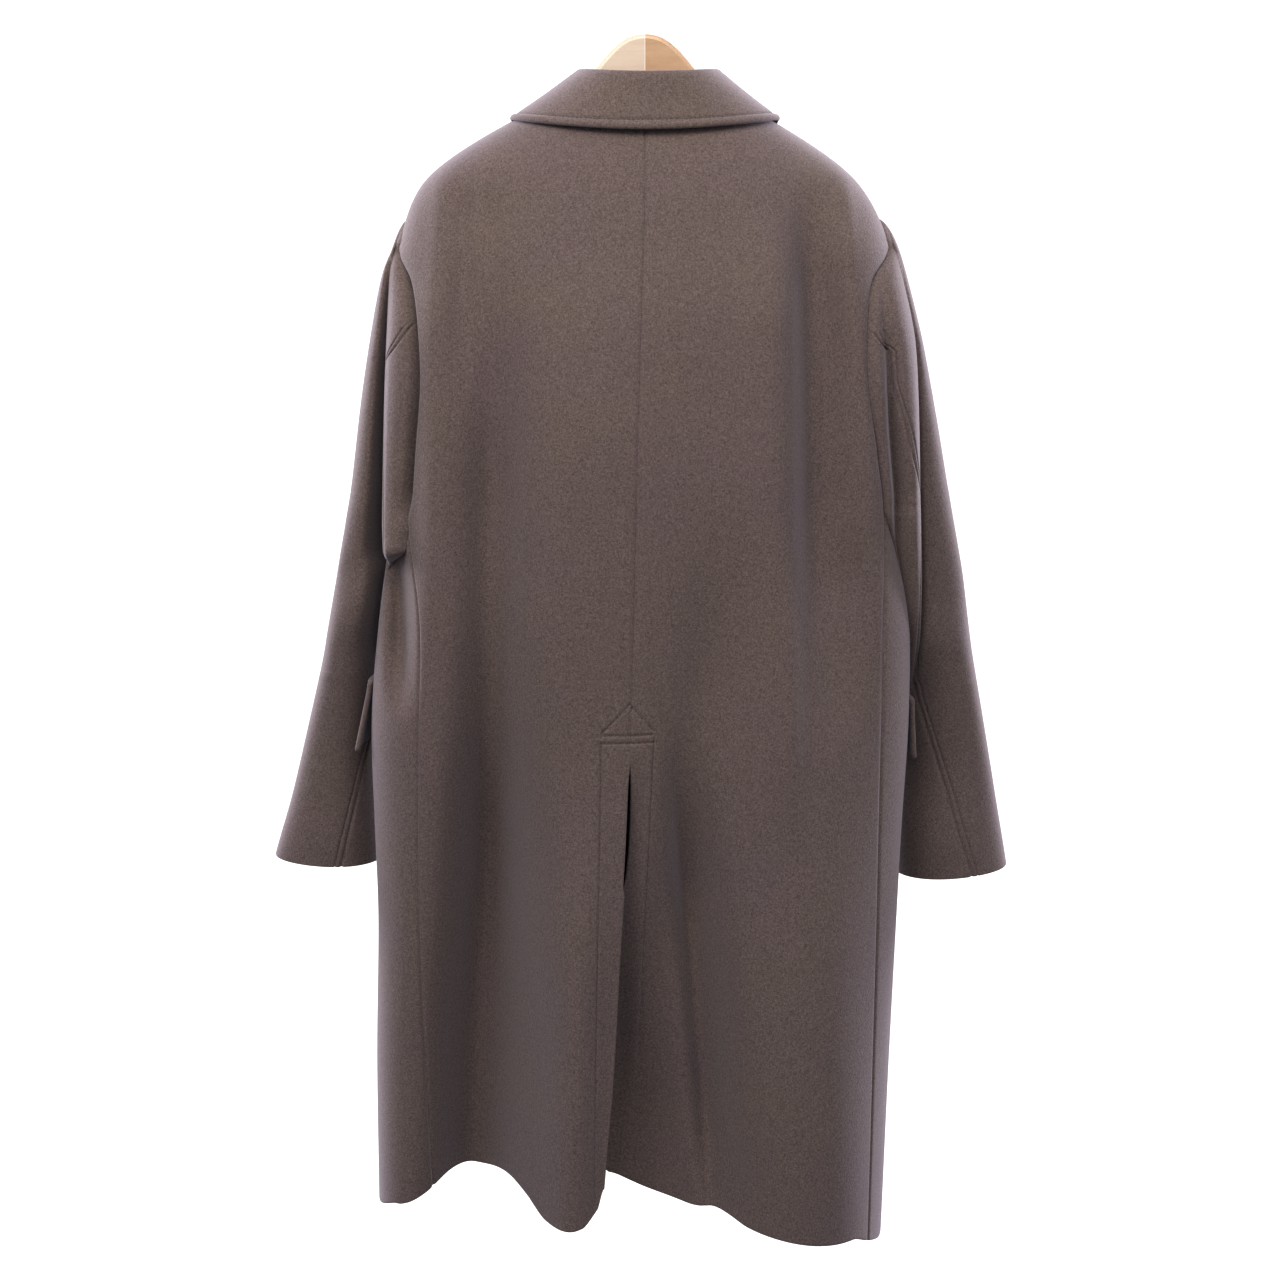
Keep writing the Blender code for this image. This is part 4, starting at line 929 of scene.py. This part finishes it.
# Angles of the rear and fore edge, section rows of the top and lower edge, and the lower edge's stand.
FLAPS = {-1: (84.0, 124.0, 9.68, 10.30, 0.0110), +1: (87.0, 126.0, 9.86, 10.38, 0.0045)}
for side, name in SIDE_NAMES.items():
    rear, fore, top_row, low_row, stand = FLAPS[side]
    down, out = np.linspace(0, 1, 30)[:, None], np.linspace(0, 1, 60)[None, :]
    rows = top_row + (low_row - top_row) * down + 0 * out
    angle = np.radians(rear + (fore - rear) * out) + 0 * down
    base = coat_face(rows, angle, side)
    normal = facing_out(base, -side)
    lift = FLAP_LIFT + stand * down ** 1.4 + 0 * out
    cloth = layer(base, normal, lift + FLAP_CLOTH, lift, -side, (0.3, 1.0, 1.0, 1.0))
    made = cloth_piece("pocket_flap_%s_cloth" % name, [cloth], COAT_WOOL)
    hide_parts("pocket_flap_" + name)

# Buttons
# Plain dark horn-like buttons, sewn to the left front where the fronts close. Each is a turned disc
# with a raised rim.
BUTTON_NODES = ("button_top", "button_middle", "button_bottom")
BUTTON_RINGS, BUTTON_TURNS, BUTTON_EYE = 60, 48, 0.00005
# Half profile in millimetres, as radius and height: from the middle of the face over the rim to the back.
BUTTON_PROFILE = np.array([
    (0, 3), (6, 3), (8.8, 3.1), (9.9, 3.4), (10.7, 4), (11.5, 4.2), (12.2, 4), (12.5, 3.4), (12.5, 1.8),
    (11.8, 1.2), (6.5, 0), (0, 0)]) / 1000
horn, tree, shader, place = finish_start("dark_horn")
cloud = place.noise(160.0, 4.0, 0.6)
streaked = place.blend(cloud, (0.012, 0.008, 0.006, 1.0), (0.060, 0.038, 0.026, 1.0))
tree.links.new(streaked.socket, shader["Base Color"])
tree.links.new((0.25 + cloud * 0.2).socket, shader["Roughness"])
for node in BUTTON_NODES:
    low, high = (np.array(corner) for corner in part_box(node))
    seat = np.array([(low[0] + high[0]) / 2, low[1], (low[2] + high[2]) / 2])
    around = np.radians(np.linspace(0, 360, BUTTON_TURNS, endpoint=False))
    at = np.linspace(0, len(BUTTON_PROFILE) - 1, BUTTON_RINGS)
    radius, height = through(BUTTON_PROFILE, at).T[..., None]
    radius = np.maximum(radius, BUTTON_EYE)
    points = seat + np.stack([radius * np.sin(around), height + 0 * around, radius * np.cos(around)], -1)
    rings = np.arange(BUTTON_RINGS * BUTTON_TURNS).reshape(BUTTON_RINGS, BUTTON_TURNS)
    made = coat_mesh(node + "_turned", points.reshape(-1, 3), ring_faces(rings))
    made.data.materials.append(horn)
    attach(made, "root")
    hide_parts(node)

# Hanger
# Two shaped boards of wood that meet in a joint at the middle of the crown, the left pale and the
# right tan, smoothly sanded and clear lacquered.
WOOD_TONES = {"left": ((0.50, 0.42, 0.335, 1.0), (0.44, 0.345, 0.26, 1.0)),
              "right": ((0.41, 0.275, 0.165, 1.0), (0.33, 0.20, 0.108, 1.0))}


def lacquered_wood(name, early, late):
    """Lacquered wood: long rings of noise stretched along the board, between two tones."""
    made, tree, shader, place = finish_start(name)
    stretched = place.node("ShaderNodeMapping", {}, {"Vector": place, "Scale": (0.16, 1.0, 1.0)})
    ring = stretched.noise(120.0, 3.0, 0.6)
    pore = stretched.noise(900.0, 2.0, 0.5)
    grain = (ring - 0.5) * 1.6 + (pore - 0.5) * 0.5 + 0.5
    tree.links.new(place.blend(grain, late, early).socket, shader["Base Color"])
    tree.links.new((0.34 + pore * 0.12).socket, shader["Roughness"])
    bump = grain.node("ShaderNodeBump", {}, {"Strength": 0.08, "Distance": 0.0004, "Height": pore})
    tree.links.new(bump.socket, shader["Normal"])
    shader["Coat Weight"].default_value = 0.25
    shader["Coat Roughness"].default_value = 0.22
    return made


for name, (early, late) in WOOD_TONES.items():
    board = bpy.data.objects["hanger_" + name]
    board.data.materials.clear()
    board.data.materials.append(lacquered_wood("wood_" + name, early, late))
